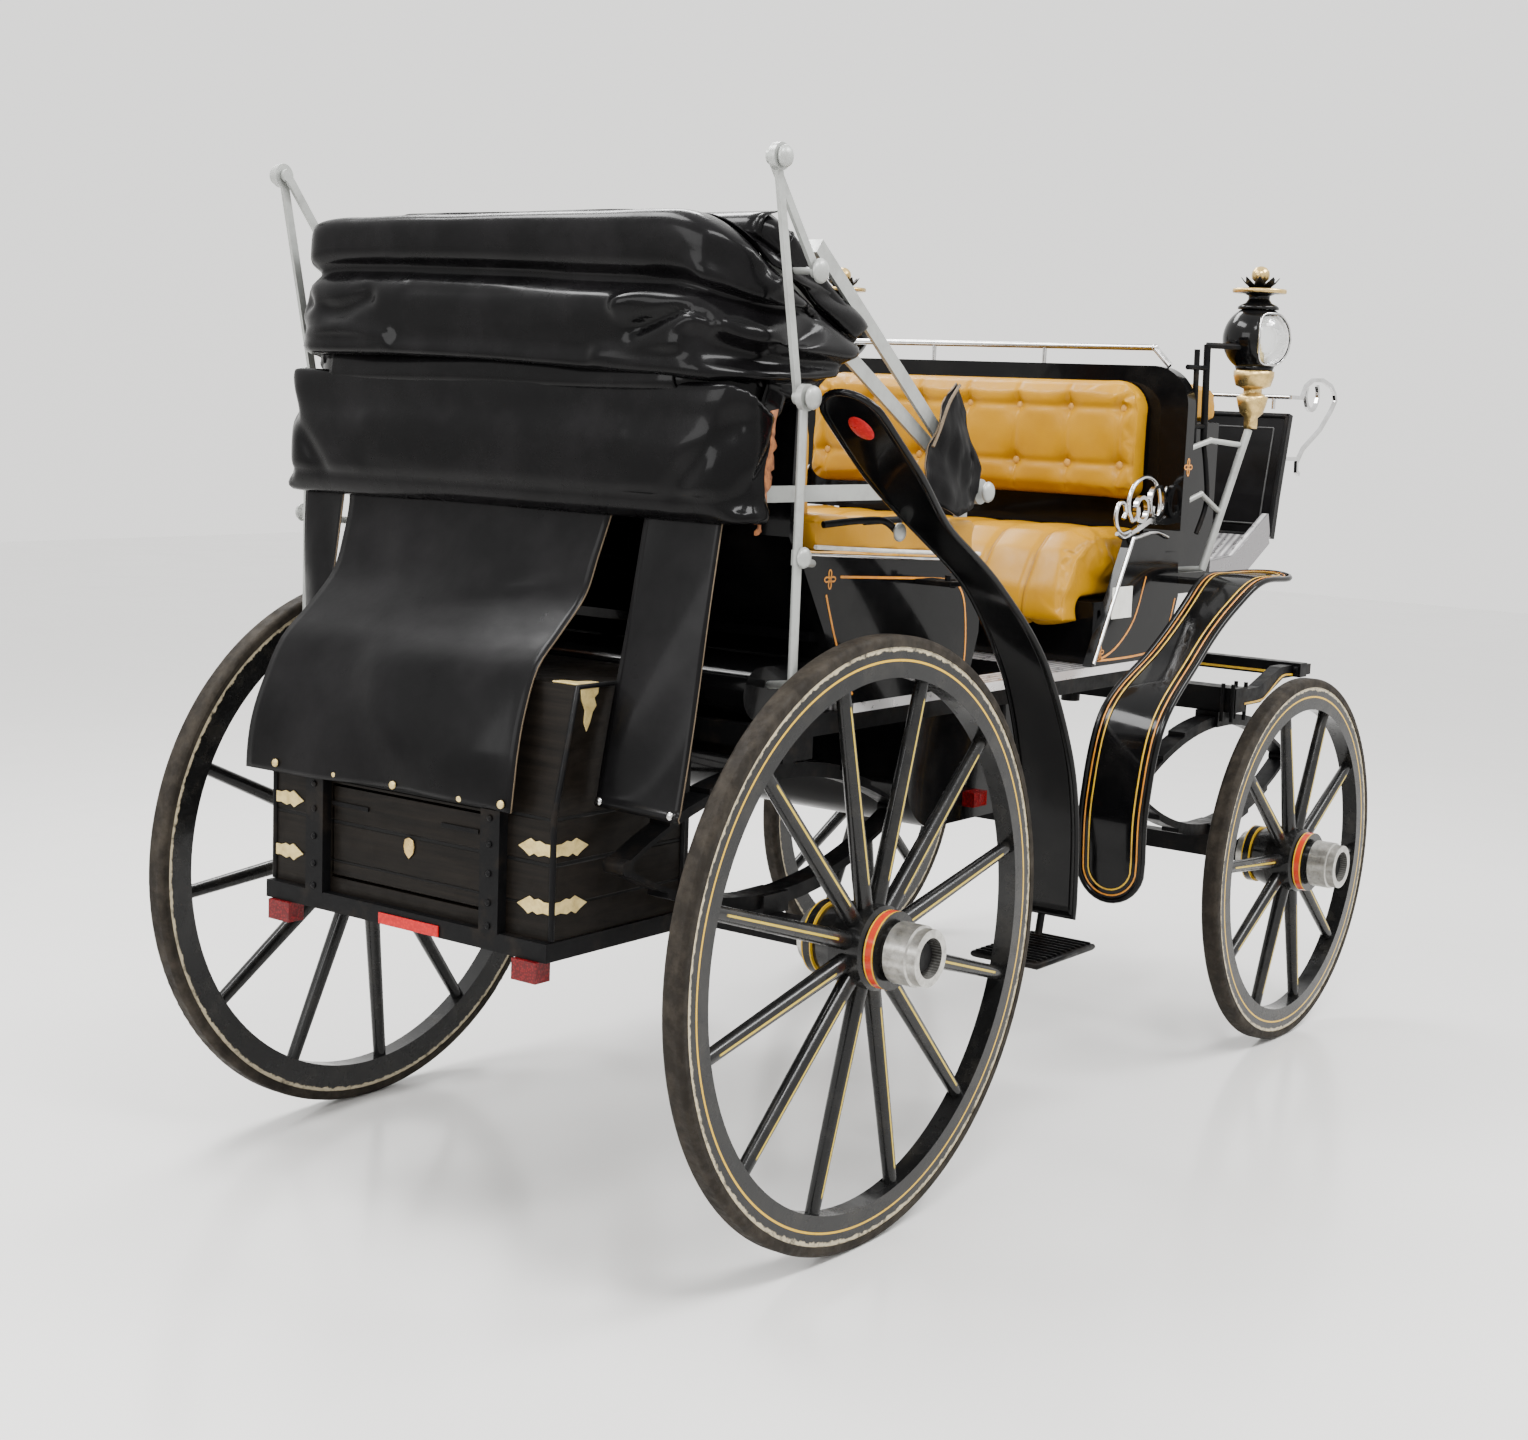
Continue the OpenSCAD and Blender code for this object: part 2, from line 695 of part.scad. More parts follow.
module trunk_box() {
    color("dimgray") placed() {
        difference() {
            side_extrude(-trunk_w / 2, trunk_w / 2) trunk_outline(0);
            side_extrude(-trunk_w / 2 + plank_t, trunk_w / 2 - plank_t) trunk_outline(plank_t);
            translate([trunk_x0 - 1, -door_half_w - 5, door_z0 - 1])
                cube([plank_t + 2, 2 * door_half_w + 10, door_h + 6]);
        }
        both() translate([trunk_x0 + hinge_r, door_half_w - 12, door_z0 + hinge_r + 3])
            rotate([-90, 0, 0]) cylinder(h = 24, r = hinge_pin_r);
    }
}

hinge_r = 4;
hinge_pin_r = 2;

module trunk_door() {
    color("dimgray") placed() difference() {
        union() {
            translate([trunk_x0, -door_half_w, door_z0 + 8])
                cube([plank_t, 2 * door_half_w, door_h - 8]);
            translate([trunk_x0 + hinge_r, -door_half_w, door_z0 + hinge_r + 3])
                rotate([-90, 0, 0]) cylinder(h = 2 * door_half_w, r = hinge_r);
            translate([trunk_x0 + hinge_r - 2, -door_half_w, door_z0 + hinge_r + 3])
                cube([4, 2 * door_half_w, 6]);
        }
        both() translate([trunk_x0 + hinge_r, door_half_w - 13, door_z0 + hinge_r + 3])
            rotate([-90, 0, 0]) cylinder(h = 14, r = hinge_pin_r + 0.05);
    }
}

batten_y = 215;

module trunk_rack() {
    rack_top = trunk_z - rest_gap;
    color("black") placed() {
        difference() {
            translate([-522, -345, rack_top - 32]) cube([430, 690, 32]);
            translate([-490, -300, rack_top - 33]) cube([360, 270, 34]);
            translate([-490, 30, rack_top - 33]) cube([360, 270, 34]);
        }
        both() translate([trunk_x0 - rest_gap - 20, batten_y - 22, rack_top - 1])
            cube([20, 44, 800 - rack_top]);
        both() translate([-140, 280, rack_top - 1]) cube([30, 30, rail_z - rack_top + 1 - rest_gap]);
    }
}

module reflectors() {
    color("firebrick") placed() both() {
        translate([-530, 275, 521]) cube([36, 55, 36.2]);
        translate([640, well_half_w + 0.2, 690]) cube([50, 28, 30]);
    }
}

// ---------------------------------------------------------------- hood

pivot = [480, hood_pivot_z];
fold_gap = move_gap;
wing_inner_y = 474;
lower_top_angle = 13.6;
middle_top_angle = 32.8;

// Side outline of the folded hood leather.
module hood_outline() {
    polygon([[-287, 1290], [-175, 1290], [-105, 1440], [-60, 1530], [-20, 1560], [30, 1620],
        [85, 1668], [50, 1698], [-70, 1752], [-200, 1800], [-305, 1800], [-325, 1780],
        [-318, 1680], [-338, 1600], [-320, 1520], [-338, 1420], [-330, 1320]]);
}

// Half planes above and below a line from the pivot at an angle over the horizontal.
module above(a) translate(pivot) rotate(180 - a)
    translate([-600, -2000 - fold_gap / 2]) square([3000, 2000]);
module below(a) translate(pivot) rotate(180 - a)
    translate([-600, fold_gap / 2]) square([3000, 2000]);

// Plan of the folded leather: a back roll with two side wings, open to the front.
// side is its half width and corner the radius of its two rear corners.
module hood_plan(side, corner) {
    back = -345;
    difference() {
        union() {
            translate([back + corner, -side]) square([600, 2 * side]);
            translate([back, -side + corner]) square([600, 2 * (side - corner)]);
            for (s = [-1, 1]) translate([back + corner, s * (side - corner)]) circle(r = corner);
        }
        translate([-160, -wing_inner_y]) square([900, 2 * wing_inner_y]);
    }
}

module fold_solid(side, corner) {
    intersection() {
        side_extrude(-side, side) children();
        translate([0, 0, 1200]) linear_extrude(700) hood_plan(side, corner);
    }
}

fixed_bow_y = 484;
main_bow_y = 496;
front_bow_y = 508;
main_bow_l = 800;
front_bow_l = 690;
pin_r = 9;

// A U-shaped bow: two flat side irons and a cross bar at their far end.
module bow(angle, l, y, grow) {
    translate([pivot[0], 0, pivot[1]]) rotate([0, angle, 0]) {
        both() translate([-l - grow, y - grow, -bow_h / 2 - grow])
            cube([l - 20 + grow, bow_t + 2 * grow, bow_h + 2 * grow]);
        both() translate([0, y, 0]) rotate([-90, 0, 0]) difference() {
            cylinder(h = bow_t, r = 24);
            translate([0, 0, -1]) cylinder(h = bow_t + 2, r = pin_r + 0.05);
        }
        translate([-l - grow, -y - grow, -bow_h / 2 - grow])
            cube([24 + 2 * grow, 2 * (y + grow), bow_h + 2 * grow]);
    }
}

post_x = -208;
post_z = 1500;
post_y = 592;
knob_r = 22;
main_knob = [-155, 1707];
knuckle = [-288, 1877];
lower_iron_y = 580;
upper_iron_y = 568;
iron_t = 7;
iron_pin_r = 6;
iron_eye_r = 12;

module hood_main_bow() {
    color("gray") placed() {
        bow(main_bow_angle, main_bow_l, main_bow_y, 0);
        both() translate([main_knob[0], main_bow_y + bow_t - 1, main_knob[1]]) rotate([-90, 0, 0])
            cylinder(h = upper_iron_y + iron_t - main_bow_y - bow_t + 3, r = iron_pin_r);
    }
}

module hood_front_bow() {
    color("gray") placed() bow(front_bow_angle, front_bow_l, front_bow_y, 0);
}

module hood_lower_fold() {
    color("black") placed() difference() {
        fold_solid(hood_half_w, 110) intersection() {
            hood_outline();
            below(lower_top_angle);
        }
        both() translate([-262, fixed_bow_y - seat_gap, 1319])
            cube([600, bow_t + 2 * seat_gap, bow_h + 4]);
        translate([-262, -fixed_bow_y - 1, 1319]) cube([24 + 2 * seat_gap, 2 * fixed_bow_y + 2, bow_h + 4]);
    }
}

module hood_middle_fold() {
    color("black") placed() difference() {
        fold_solid(hood_half_w - 16, 170) intersection() {
            hood_outline();
            above(lower_top_angle);
            below(middle_top_angle);
        }
        bow(main_bow_angle, main_bow_l, main_bow_y, seat_gap);
        both() translate([main_knob[0], main_bow_y, main_knob[1]]) rotate([-90, 0, 0])
            cylinder(h = 60, r = iron_pin_r + seat_gap);
    }
}

module hood_top_fold() {
    color("black") placed() difference() {
        fold_solid(hood_half_w - 26, 200) intersection() {
            hood_outline();
            above(middle_top_angle);
        }
        bow(front_bow_angle, front_bow_l, front_bow_y, seat_gap);
    }
}

// Fixed lower bow, hood pivots and the posts that carry the landau irons.
module hood_fixed_irons() {
    color("gray") placed() {
        both() {
            translate([-262 + seat_gap, fixed_bow_y, 1321]) cube([730 + 12, bow_t, bow_h]);
            translate([pivot[0], fixed_bow_y - 5, pivot[1]]) rotate([-90, 0, 0])
                cylinder(h = front_bow_y + bow_t + 8 - fixed_bow_y + 5, r = pin_r);
            translate([pivot[0], front_bow_y + bow_t + 3, pivot[1]]) rotate([-90, 0, 0])
                cylinder(h = 8, r = 24);
            translate([pivot[0] - 20, fixed_bow_y - 6, 1284]) cube([40, 6.5, 60]);
            rod([post_x, post_y + 4, 1020], [post_x, post_y + 4, post_z], 8);
            translate([post_x, lower_iron_y - 2, post_z]) rotate([-90, 0, 0])
                cylinder(h = post_y + 4 - lower_iron_y, r = iron_pin_r);
            translate([post_x, post_y + 2, post_z]) rotate([-90, 0, 0]) cylinder(h = 12, r = knob_r);
            rod([post_x, post_y + 4, 1026], [-80, 455.5, 1000], 7);
            rod([post_x, post_y + 4, 1230], [-40, 507, 1215], 7);
        }
        translate([-262 + seat_gap, -fixed_bow_y, 1321]) cube([24, 2 * fixed_bow_y, bow_h]);
    }
}

module landau_lower_irons() {
    color("silver") placed() both() {
        side_extrude(lower_iron_y, lower_iron_y + iron_t) difference() {
            union() {
                strip([[post_x, post_z], knuckle], 16);
                translate([post_x, post_z]) circle(r = iron_eye_r);
            }
            translate([post_x, post_z]) circle(r = iron_pin_r + 0.05);
        }
        translate([knuckle[0], lower_iron_y, knuckle[1]]) rotate([-90, 0, 0])
            cylinder(h = iron_t + 6, r = knob_r);
    }
}

module landau_upper_irons() {
    color("silver") placed() both() side_extrude(upper_iron_y, upper_iron_y + iron_t) difference() {
        union() {
            strip([main_knob, knuckle], 16);
            translate(main_knob) circle(r = iron_eye_r);
            translate(knuckle) circle(r = iron_eye_r);
        }
        translate(main_knob) circle(r = iron_pin_r + 0.05);
    }
}

module pivot_covers() {
    color("black") placed() both()
        side_extrude(front_bow_y + bow_t + 11.3, front_bow_y + bow_t + 17)
            polygon([[330, 1400], [360, 1440], [380, 1545], [400, 1535], [435, 1450], [480, 1350],
                [450, 1285], [350, 1295]]);
}

// A thin sheet between four corners in order round its edge, t thick.
module sheet(a, b, c, d, t) {
    n = cross(c - a, d - b);
    o = n / norm(n) * t;
    polyhedron(points = [a, b, c, d, a + o, b + o, c + o, d + o],
        faces = [[0, 1, 2], [0, 2, 3], [6, 5, 4], [7, 6, 4], [4, 5, 1], [4, 1, 0], [5, 6, 2],
            [5, 2, 1], [6, 7, 3], [6, 3, 2], [7, 4, 0], [7, 0, 3]]);
}

// The hood's rear curtain: a wide middle flap and two narrow side strips that hang
// outside the trunk.
module rear_curtain() {
    hem_z = 1285.5;
    color("black") placed() {
        side_extrude(-270, 385)
            strip([[-280, hem_z + 2.8], [-330, 1160], [-456, 1034], [-519, 910], [-531, 800]], 8);
        sheet([-280, -340, hem_z + 4], [-276, -500, hem_z + 4], [-415, -530, 806],
            [-420, -354, 812], 6);
        sheet([-270, 520, hem_z + 4], [-280, 400, hem_z + 4], [-400, 384, 800],
            [-340, 444, 800], 6);
    }
}

chassis_frame();
body_floor();
foot_well();
rear_side_panels();
rear_seat_shell();
front_side_panels();
front_seat_box();
front_seat_frame();
rear_seat_cushion();
rear_seat_back();
arm_pads();
front_seat_cushion();
front_seat_back();
driver_seat();
footboard();
dash_board();
chrome_rails();
front_fenders();
rear_fenders();
step_plates();
lamps();
lamp_glass();
lamp_stays();
trunk_box();
trunk_rack();
trunk_door();
reflectors();
rear_curtain();
hood_lower_fold();
hood_fixed_irons();
pivot_covers();
rear_axle();
rear_springs();
hood_main_bow();
hood_middle_fold();
hood_front_bow();
hood_top_fold();
landau_lower_irons();
landau_upper_irons();
splinter_frame();
front_springs();
front_axle();
rear_wheel(-1);  // rear_right_wheel
rear_wheel(1);  // rear_left_wheel
front_wheel(-1);  // front_right_wheel
front_wheel(1);  // front_left_wheel
rear_tyre(-1);  // rear_right_tyre
rear_tyre(1);  // rear_left_tyre
front_tyre(-1);  // front_right_tyre
front_tyre(1);  // front_left_tyre
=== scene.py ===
import json
import math
import bpy
import bmesh
import numpy as np
from mathutils import Matrix, Vector

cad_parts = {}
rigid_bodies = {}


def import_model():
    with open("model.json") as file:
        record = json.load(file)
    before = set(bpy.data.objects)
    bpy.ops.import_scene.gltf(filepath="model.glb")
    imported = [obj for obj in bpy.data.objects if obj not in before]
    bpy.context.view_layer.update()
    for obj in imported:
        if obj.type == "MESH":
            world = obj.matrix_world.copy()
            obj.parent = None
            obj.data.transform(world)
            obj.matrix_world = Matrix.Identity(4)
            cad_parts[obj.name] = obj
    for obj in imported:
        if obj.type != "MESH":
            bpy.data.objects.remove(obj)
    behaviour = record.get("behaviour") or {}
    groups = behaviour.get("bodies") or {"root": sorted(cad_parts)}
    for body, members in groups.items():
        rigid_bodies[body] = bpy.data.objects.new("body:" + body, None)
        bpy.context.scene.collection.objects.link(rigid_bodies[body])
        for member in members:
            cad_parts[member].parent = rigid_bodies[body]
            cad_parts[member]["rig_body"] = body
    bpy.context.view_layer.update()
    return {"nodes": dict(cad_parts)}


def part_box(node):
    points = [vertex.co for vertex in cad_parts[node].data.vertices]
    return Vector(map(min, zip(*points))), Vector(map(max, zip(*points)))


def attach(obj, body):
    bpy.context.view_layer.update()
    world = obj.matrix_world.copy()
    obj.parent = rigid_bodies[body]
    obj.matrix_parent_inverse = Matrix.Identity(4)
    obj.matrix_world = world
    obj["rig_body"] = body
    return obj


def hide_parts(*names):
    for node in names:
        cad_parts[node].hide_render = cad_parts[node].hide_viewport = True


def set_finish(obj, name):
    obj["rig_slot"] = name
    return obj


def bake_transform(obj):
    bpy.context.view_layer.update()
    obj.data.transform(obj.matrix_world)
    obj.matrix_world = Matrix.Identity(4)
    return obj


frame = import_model()
NODES = frame["nodes"]
BODY = "carriage_body"

# Points are written in millimetres with x = 0 at the rear axle, as in the CAD source.
REAR_AXLE_X = 0.5 * (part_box("rear_right_tyre")[0].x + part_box("rear_right_tyre")[1].x)
WHEELBASE = 1840.0


def xyz(x, y, z):
    return (REAR_AXLE_X + x / 1000.0, y / 1000.0, z / 1000.0)


# ------------------------------------------------------------------ materials


class Sh:
    """Builds one Principled material from node helpers."""

    SOCKETS = {"metal": "Metallic", "coat": "Coat Weight", "coat_rough": "Coat Roughness",
               "spec": "Specular IOR Level", "trans": "Transmission Weight", "ior": "IOR", "alpha": "Alpha"}

    def __init__(self, name, **settings):
        self.m = bpy.data.materials.new(name)
        self.m.use_nodes = True
        self.t = self.m.node_tree
        self.b = self.t.nodes["Principled BSDF"]
        self.co = self.t.nodes.new("ShaderNodeTexCoord").outputs["Object"]
        for key, value in settings.items():
            self.b.inputs[self.SOCKETS[key]].default_value = value

    def axes(self):
        n = self.t.nodes.new("ShaderNodeSeparateXYZ")
        self.t.links.new(self.co, n.inputs[0])
        return n.outputs[0], n.outputs[1], n.outputs[2]

    def put(self, sock, v):
        if hasattr(v, "links"):
            self.t.links.new(v, sock)
        else:
            sock.default_value = v

    def f(self, op, *values):
        n = self.t.nodes.new("ShaderNodeMath")
        n.operation = op
        for sock, v in zip(n.inputs, values):
            self.put(sock, v)
        return n.outputs[0]

    def ramp(self, v, lo, hi, a=0.0, b=1.0):
        """Maps v from lo..hi to a..b."""
        n = self.t.nodes.new("ShaderNodeMapRange")
        for sock, value in zip(n.inputs, (v, lo, hi, a, b)):
            self.put(sock, value)
        return n.outputs[0]

    def band(self, v, lo, hi, soft=0.0004):
        """1 where v lies between lo and hi."""
        half = (hi - lo) / 2
        return self.ramp(self.f("ABSOLUTE", self.f("SUBTRACT", v, (lo + hi) / 2)), half + soft, half - soft)

    def noise(self, scale, detail=4.0, rough=0.55, stretch=None, distort=0.0):
        n = self.t.nodes.new("ShaderNodeTexNoise")
        n.inputs["Scale"].default_value = scale
        n.inputs["Detail"].default_value = detail
        n.inputs["Roughness"].default_value = rough
        n.inputs["Distortion"].default_value = distort
        src = self.co
        if stretch:
            m = self.t.nodes.new("ShaderNodeMapping")
            m.inputs["Scale"].default_value = stretch
            self.t.links.new(self.co, m.inputs[0])
            src = m.outputs[0]
        self.t.links.new(src, n.inputs["Vector"])
        return n.outputs[0]

    def cells(self, scale):
        n = self.t.nodes.new("ShaderNodeTexVoronoi")
        n.inputs["Scale"].default_value = scale
        self.t.links.new(self.co, n.inputs["Vector"])
        return n.outputs["Distance"]

    def mix(self, fac, a, b):
        n = self.t.nodes.new("ShaderNodeMix")
        n.data_type = "RGBA"
        self.put(n.inputs["Factor"], fac)
        for sock, v in ((n.inputs[6], a), (n.inputs[7], b)):
            self.put(sock, v if hasattr(v, "links") else (*v, 1.0))
        return n.outputs[2]

    def base(self, v):
        self.t.links.new(v, self.b.inputs["Base Color"])

    def rough(self, v):
        self.t.links.new(v, self.b.inputs["Roughness"])

    def metal(self, v):
        self.t.links.new(v, self.b.inputs["Metallic"])

    def bump(self, v, dist, strength):
        n = self.t.nodes.new("ShaderNodeBump")
        n.inputs["Strength"].default_value = strength
        n.inputs["Distance"].default_value = dist
        self.put(n.inputs["Height"], v)
        old = self.b.inputs["Normal"].links
        if old:
            self.t.links.new(old[0].from_socket, n.inputs["Normal"])
        self.t.links.new(n.outputs[0], self.b.inputs["Normal"])


M = {}


def paint(key, name, a, b, tone, rough, *bumps, **settings):
    """A material that runs from colour a to colour b over a noise.

    tone: scale, detail and roughness of that noise, and the values where the mix starts and ends.
    rough: scale and detail of another noise, the values it runs between, then low and high roughness.
    bumps: scale, detail and roughness of a noise, then its depth and strength.
    """
    s = Sh(name, **settings)
    s.base(s.mix(s.ramp(s.noise(*tone[:3]), *tone[3:]), a, b))
    s.rough(s.ramp(s.noise(*rough[:2]), *rough[2:]))
    for bump in bumps:
        s.bump(s.noise(*bump[:3]), *bump[3:])
    M[key] = s.m


def plain(key, name, a, b, lo, hi, metal=0.0, scale=40):
    """Paint or plate with slight wear: roughness from lo to hi."""
    paint(key, name, a, b, (scale, 5, 0.6, 0.4, 0.75), (scale * 2, 4, 0.3, 0.7, lo, hi),
          (scale * 6, 3, 0.55, 0.0003, 0.3), metal=metal)


GOLD = (0.58, 0.35, 0.015)
ORANGE = (0.58, 0.22, 0.010)
TAN, TAN_DARK = (0.37, 0.178, 0.0005), (0.28, 0.125, 0.0005)
PLEAT = 0.114

paint("lacquer", "black_coach_lacquer", (0.0022, 0.0022, 0.0024), (0.008, 0.0075, 0.007),
      (9, 5, 0.6, 0.5, 0.85), (23, 4, 0.3, 0.75, 0.07, 0.22), (3.5, 2, 0.55, 0.0012, 0.35),
      (420, 2, 0.55, 0.00012, 0.25), coat=0.14, coat_rough=0.05, spec=0.08)
paint("iron", "black_painted_iron", (0.0035, 0.0035, 0.0038), (0.016, 0.012, 0.009),
      (16, 6, 0.65, 0.52, 0.8), (40, 4, 0.3, 0.7, 0.28, 0.55), (160, 4, 0.55, 0.0006, 0.35), spec=0.08)
paint("grey_iron", "grey_painted_iron", (0.33, 0.34, 0.325), (0.21, 0.21, 0.20),
      (14, 6, 0.7, 0.45, 0.8), (60, 4, 0.3, 0.7, 0.3, 0.5), (110, 4, 0.55, 0.0008, 0.3), metal=0.35)
paint("steel", "polished_steel", (0.60, 0.60, 0.60), (0.40, 0.39, 0.38),
      (30, 5, 0.55, 0.4, 0.8), (80, 3, 0.3, 0.8, 0.08, 0.26), metal=1.0)
paint("brass", "aged_brass", (0.62, 0.44, 0.17), (0.26, 0.17, 0.06),
      (35, 6, 0.7, 0.4, 0.75), (50, 4, 0.3, 0.7, 0.22, 0.45), (200, 3, 0.55, 0.0004, 0.3), metal=0.9)
paint("glass", "lamp_glass_clear", (0.93, 0.95, 0.94), (0.85, 0.88, 0.86),
      (12, 2, 0.55, 0, 1), (25, 3, 0.3, 0.8, 0.02, 0.09), trans=1.0, ior=1.45, alpha=0.35)
paint("tyre", "rubber_tyre", (0.0135, 0.011, 0.0085), (0.040, 0.033, 0.025),
      (22, 6, 0.7, 0.42, 0.75), (70, 4, 0.3, 0.7, 0.55, 0.85), (260, 5, 0.7, 0.0011, 0.5), spec=0.12)
paint("hood", "patent_hood_leather", (0.0022, 0.0021, 0.0023), (0.0065, 0.006, 0.0065),
      (7, 5, 0.6, 0.45, 0.8), (18, 5, 0.3, 0.75, 0.16, 0.36), (11, 4, 0.5, 0.005, 0.25),
      (380, 3, 0.55, 0.0003, 0.25), spec=0.045, coat=0.10, coat_rough=0.10)
paint("curtain", "curtain_leather", (0.0025, 0.0024, 0.0026), (0.0075, 0.007, 0.0075),
      (6, 5, 0.6, 0.4, 0.8), (14, 5, 0.3, 0.75, 0.26, 0.5), (9, 4, 0.5, 0.006, 0.3),
      (420, 3, 0.55, 0.0003, 0.3), spec=0.05, coat=0.06, coat_rough=0.14)
paint("raw_edge", "leather_raw_edge", (0.16, 0.11, 0.06), (0.07, 0.05, 0.03),
      (90, 4, 0.55, 0, 1), (90, 4, 0.3, 0.7, 0.6, 0.85))
paint("lining", "frayed_lining", (0.36, 0.13, 0.04), (0.14, 0.05, 0.02),
      (60, 6, 0.7, 0.4, 0.6), (120, 4, 0.3, 0.7, 0.7, 0.95), (300, 5, 0.55, 0.002, 0.6))
paint("pale_floor", "pale_polished_floor", (0.80, 0.79, 0.775), (0.74, 0.73, 0.715),
      (0.6, 3, 0.55, 0, 1), (2.5, 5, 0.3, 0.7, 0.14, 0.24), (1.4, 2, 0.55, 0.002, 0.15), spec=0.5)
plain("gold", "gold_line_paint", GOLD, (0.40, 0.21, 0.03), 0.25, 0.45)
plain("orange", "orange_line_paint", ORANGE, (0.36, 0.12, 0.02), 0.25, 0.45)
plain("white", "white_piping", (0.62, 0.60, 0.55), (0.40, 0.38, 0.34), 0.35, 0.6)
plain("cream_brass", "pale_brass_plate", (0.62, 0.48, 0.20), (0.40, 0.29, 0.10), 0.3, 0.55, 0.35, 60)
plain("stitching", "black_stitching", (0.016, 0.016, 0.016), (0.05, 0.05, 0.05), 0.35, 0.6)
plain("label", "label_paper", (0.72, 0.72, 0.68), (0.60, 0.60, 0.56), 0.3, 0.5)


def reflector(key, name, a, b, scale, lo, hi, bump=0.0, **settings):
    """Red with the small cells of a reflector."""
    s = Sh(name, **settings)
    s.base(s.mix(s.ramp(s.cells(scale), 0.0, 0.6), a, b))
    s.rough(s.ramp(s.noise(60), 0.3, 0.7, lo, hi))
    if bump:
        s.bump(s.cells(scale), bump, 0.5)
    M[key] = s.m


reflector("red", "red_reflector", (0.20, 0.004, 0.006), (0.07, 0.002, 0.003), 220, 0.12, 0.28, 0.0008,
          coat=0.15, coat_rough=0.1, spec=0.15)
reflector("red_bright", "bright_red_tape", (0.55, 0.012, 0.012), (0.38, 0.008, 0.010), 160, 0.25, 0.45,
          spec=0.2)


def ribbed_floor():
    """Aluminium with ribs along the carriage, one every 18 mm, with painted light and shade on each rib."""
    s = Sh("ribbed_aluminium", metal=0.85)
    rib = s.f("SINE", s.f("MULTIPLY", s.axes()[1], 2 * math.pi / 0.018))
    # The base colour runs from dark to bright with each rib: painted shade in the troughs and a painted
    # highlight along the crests.
    s.base(s.mix(s.ramp(rib, -1, 1), (0.25, 0.24, 0.25), (0.80, 0.78, 0.78)))
    s.rough(s.ramp(s.noise(40, 4), 0.3, 0.7, 0.22, 0.42))
    s.bump(s.ramp(rib, -1, 1), 0.004, 0.7)
    M["floor"] = s.m


def pleat_crease_shade(s):
    """A darker tan band along the crease between two pleats, where the seam runs: painted shade in the crease.
    """
    u = s.f("SUBTRACT", s.f("FRACT", s.f("ADD", s.f("DIVIDE", s.axes()[1], PLEAT), 100.5)), 0.5)
    return s.f("MULTIPLY", s.band(s.f("MULTIPLY", u, PLEAT), -0.0016, 0.0016, 0.0007), 0.75)


def leather(key, name, base, dark, seams=None):
    s = Sh(name, spec=0.16, coat=0.07, coat_rough=0.22)
    colour = s.mix(s.ramp(s.noise(5, 5, 0.6), 0.35, 0.75), base, dark)
    if seams:
        # Mixes in the darker tan along the pleat creases: painted shade.
        colour = s.mix(seams(s), colour, (0.16, 0.075, 0.012))
    s.base(colour)
    s.rough(s.ramp(s.noise(35, 4), 0.3, 0.7, 0.28, 0.5))
    s.bump(s.cells(520), 0.0006, 0.35)
    s.bump(s.noise(60, 4), 0.0012, 0.18)
    M[key] = s.m


def trunk_planks():
    """Dark planks with their grain along Y and a groove between two planks."""
    s = Sh("trunk_planks", spec=0.09)
    z = s.axes()[2]
    groove = s.band(z, 0.793, 0.799, 0.001)
    for lo, hi in ((0.716, 0.7225), (0.646, 0.650)):
        groove = s.f("MAXIMUM", groove, s.band(z, lo, hi, 0.001))
    grain = s.noise(14, 8, 0.7, (1.0, 0.25, 6.0), 0.6)
    wood = s.mix(s.ramp(grain, 0.35, 0.75), (0.0035, 0.0028, 0.0022), (0.011, 0.0085, 0.0065))
    s.base(s.mix(groove, wood, (0.004, 0.004, 0.004)))
    s.rough(s.ramp(s.noise(30, 4), 0.3, 0.7, 0.3, 0.55))
    s.bump(s.f("SUBTRACT", s.f("MULTIPLY", grain, 0.15), groove), 0.004, 0.6)
    M["trunk"] = s.m


ribbed_floor()
trunk_planks()
leather("tan", "tan_seat_leather", TAN, TAN_DARK)
leather("tan_pleated", "tan_pleated_leather", TAN, TAN_DARK, pleat_crease_shade)
leather("button", "tan_button_leather", (0.50, 0.26, 0.05), (0.30, 0.15, 0.03))


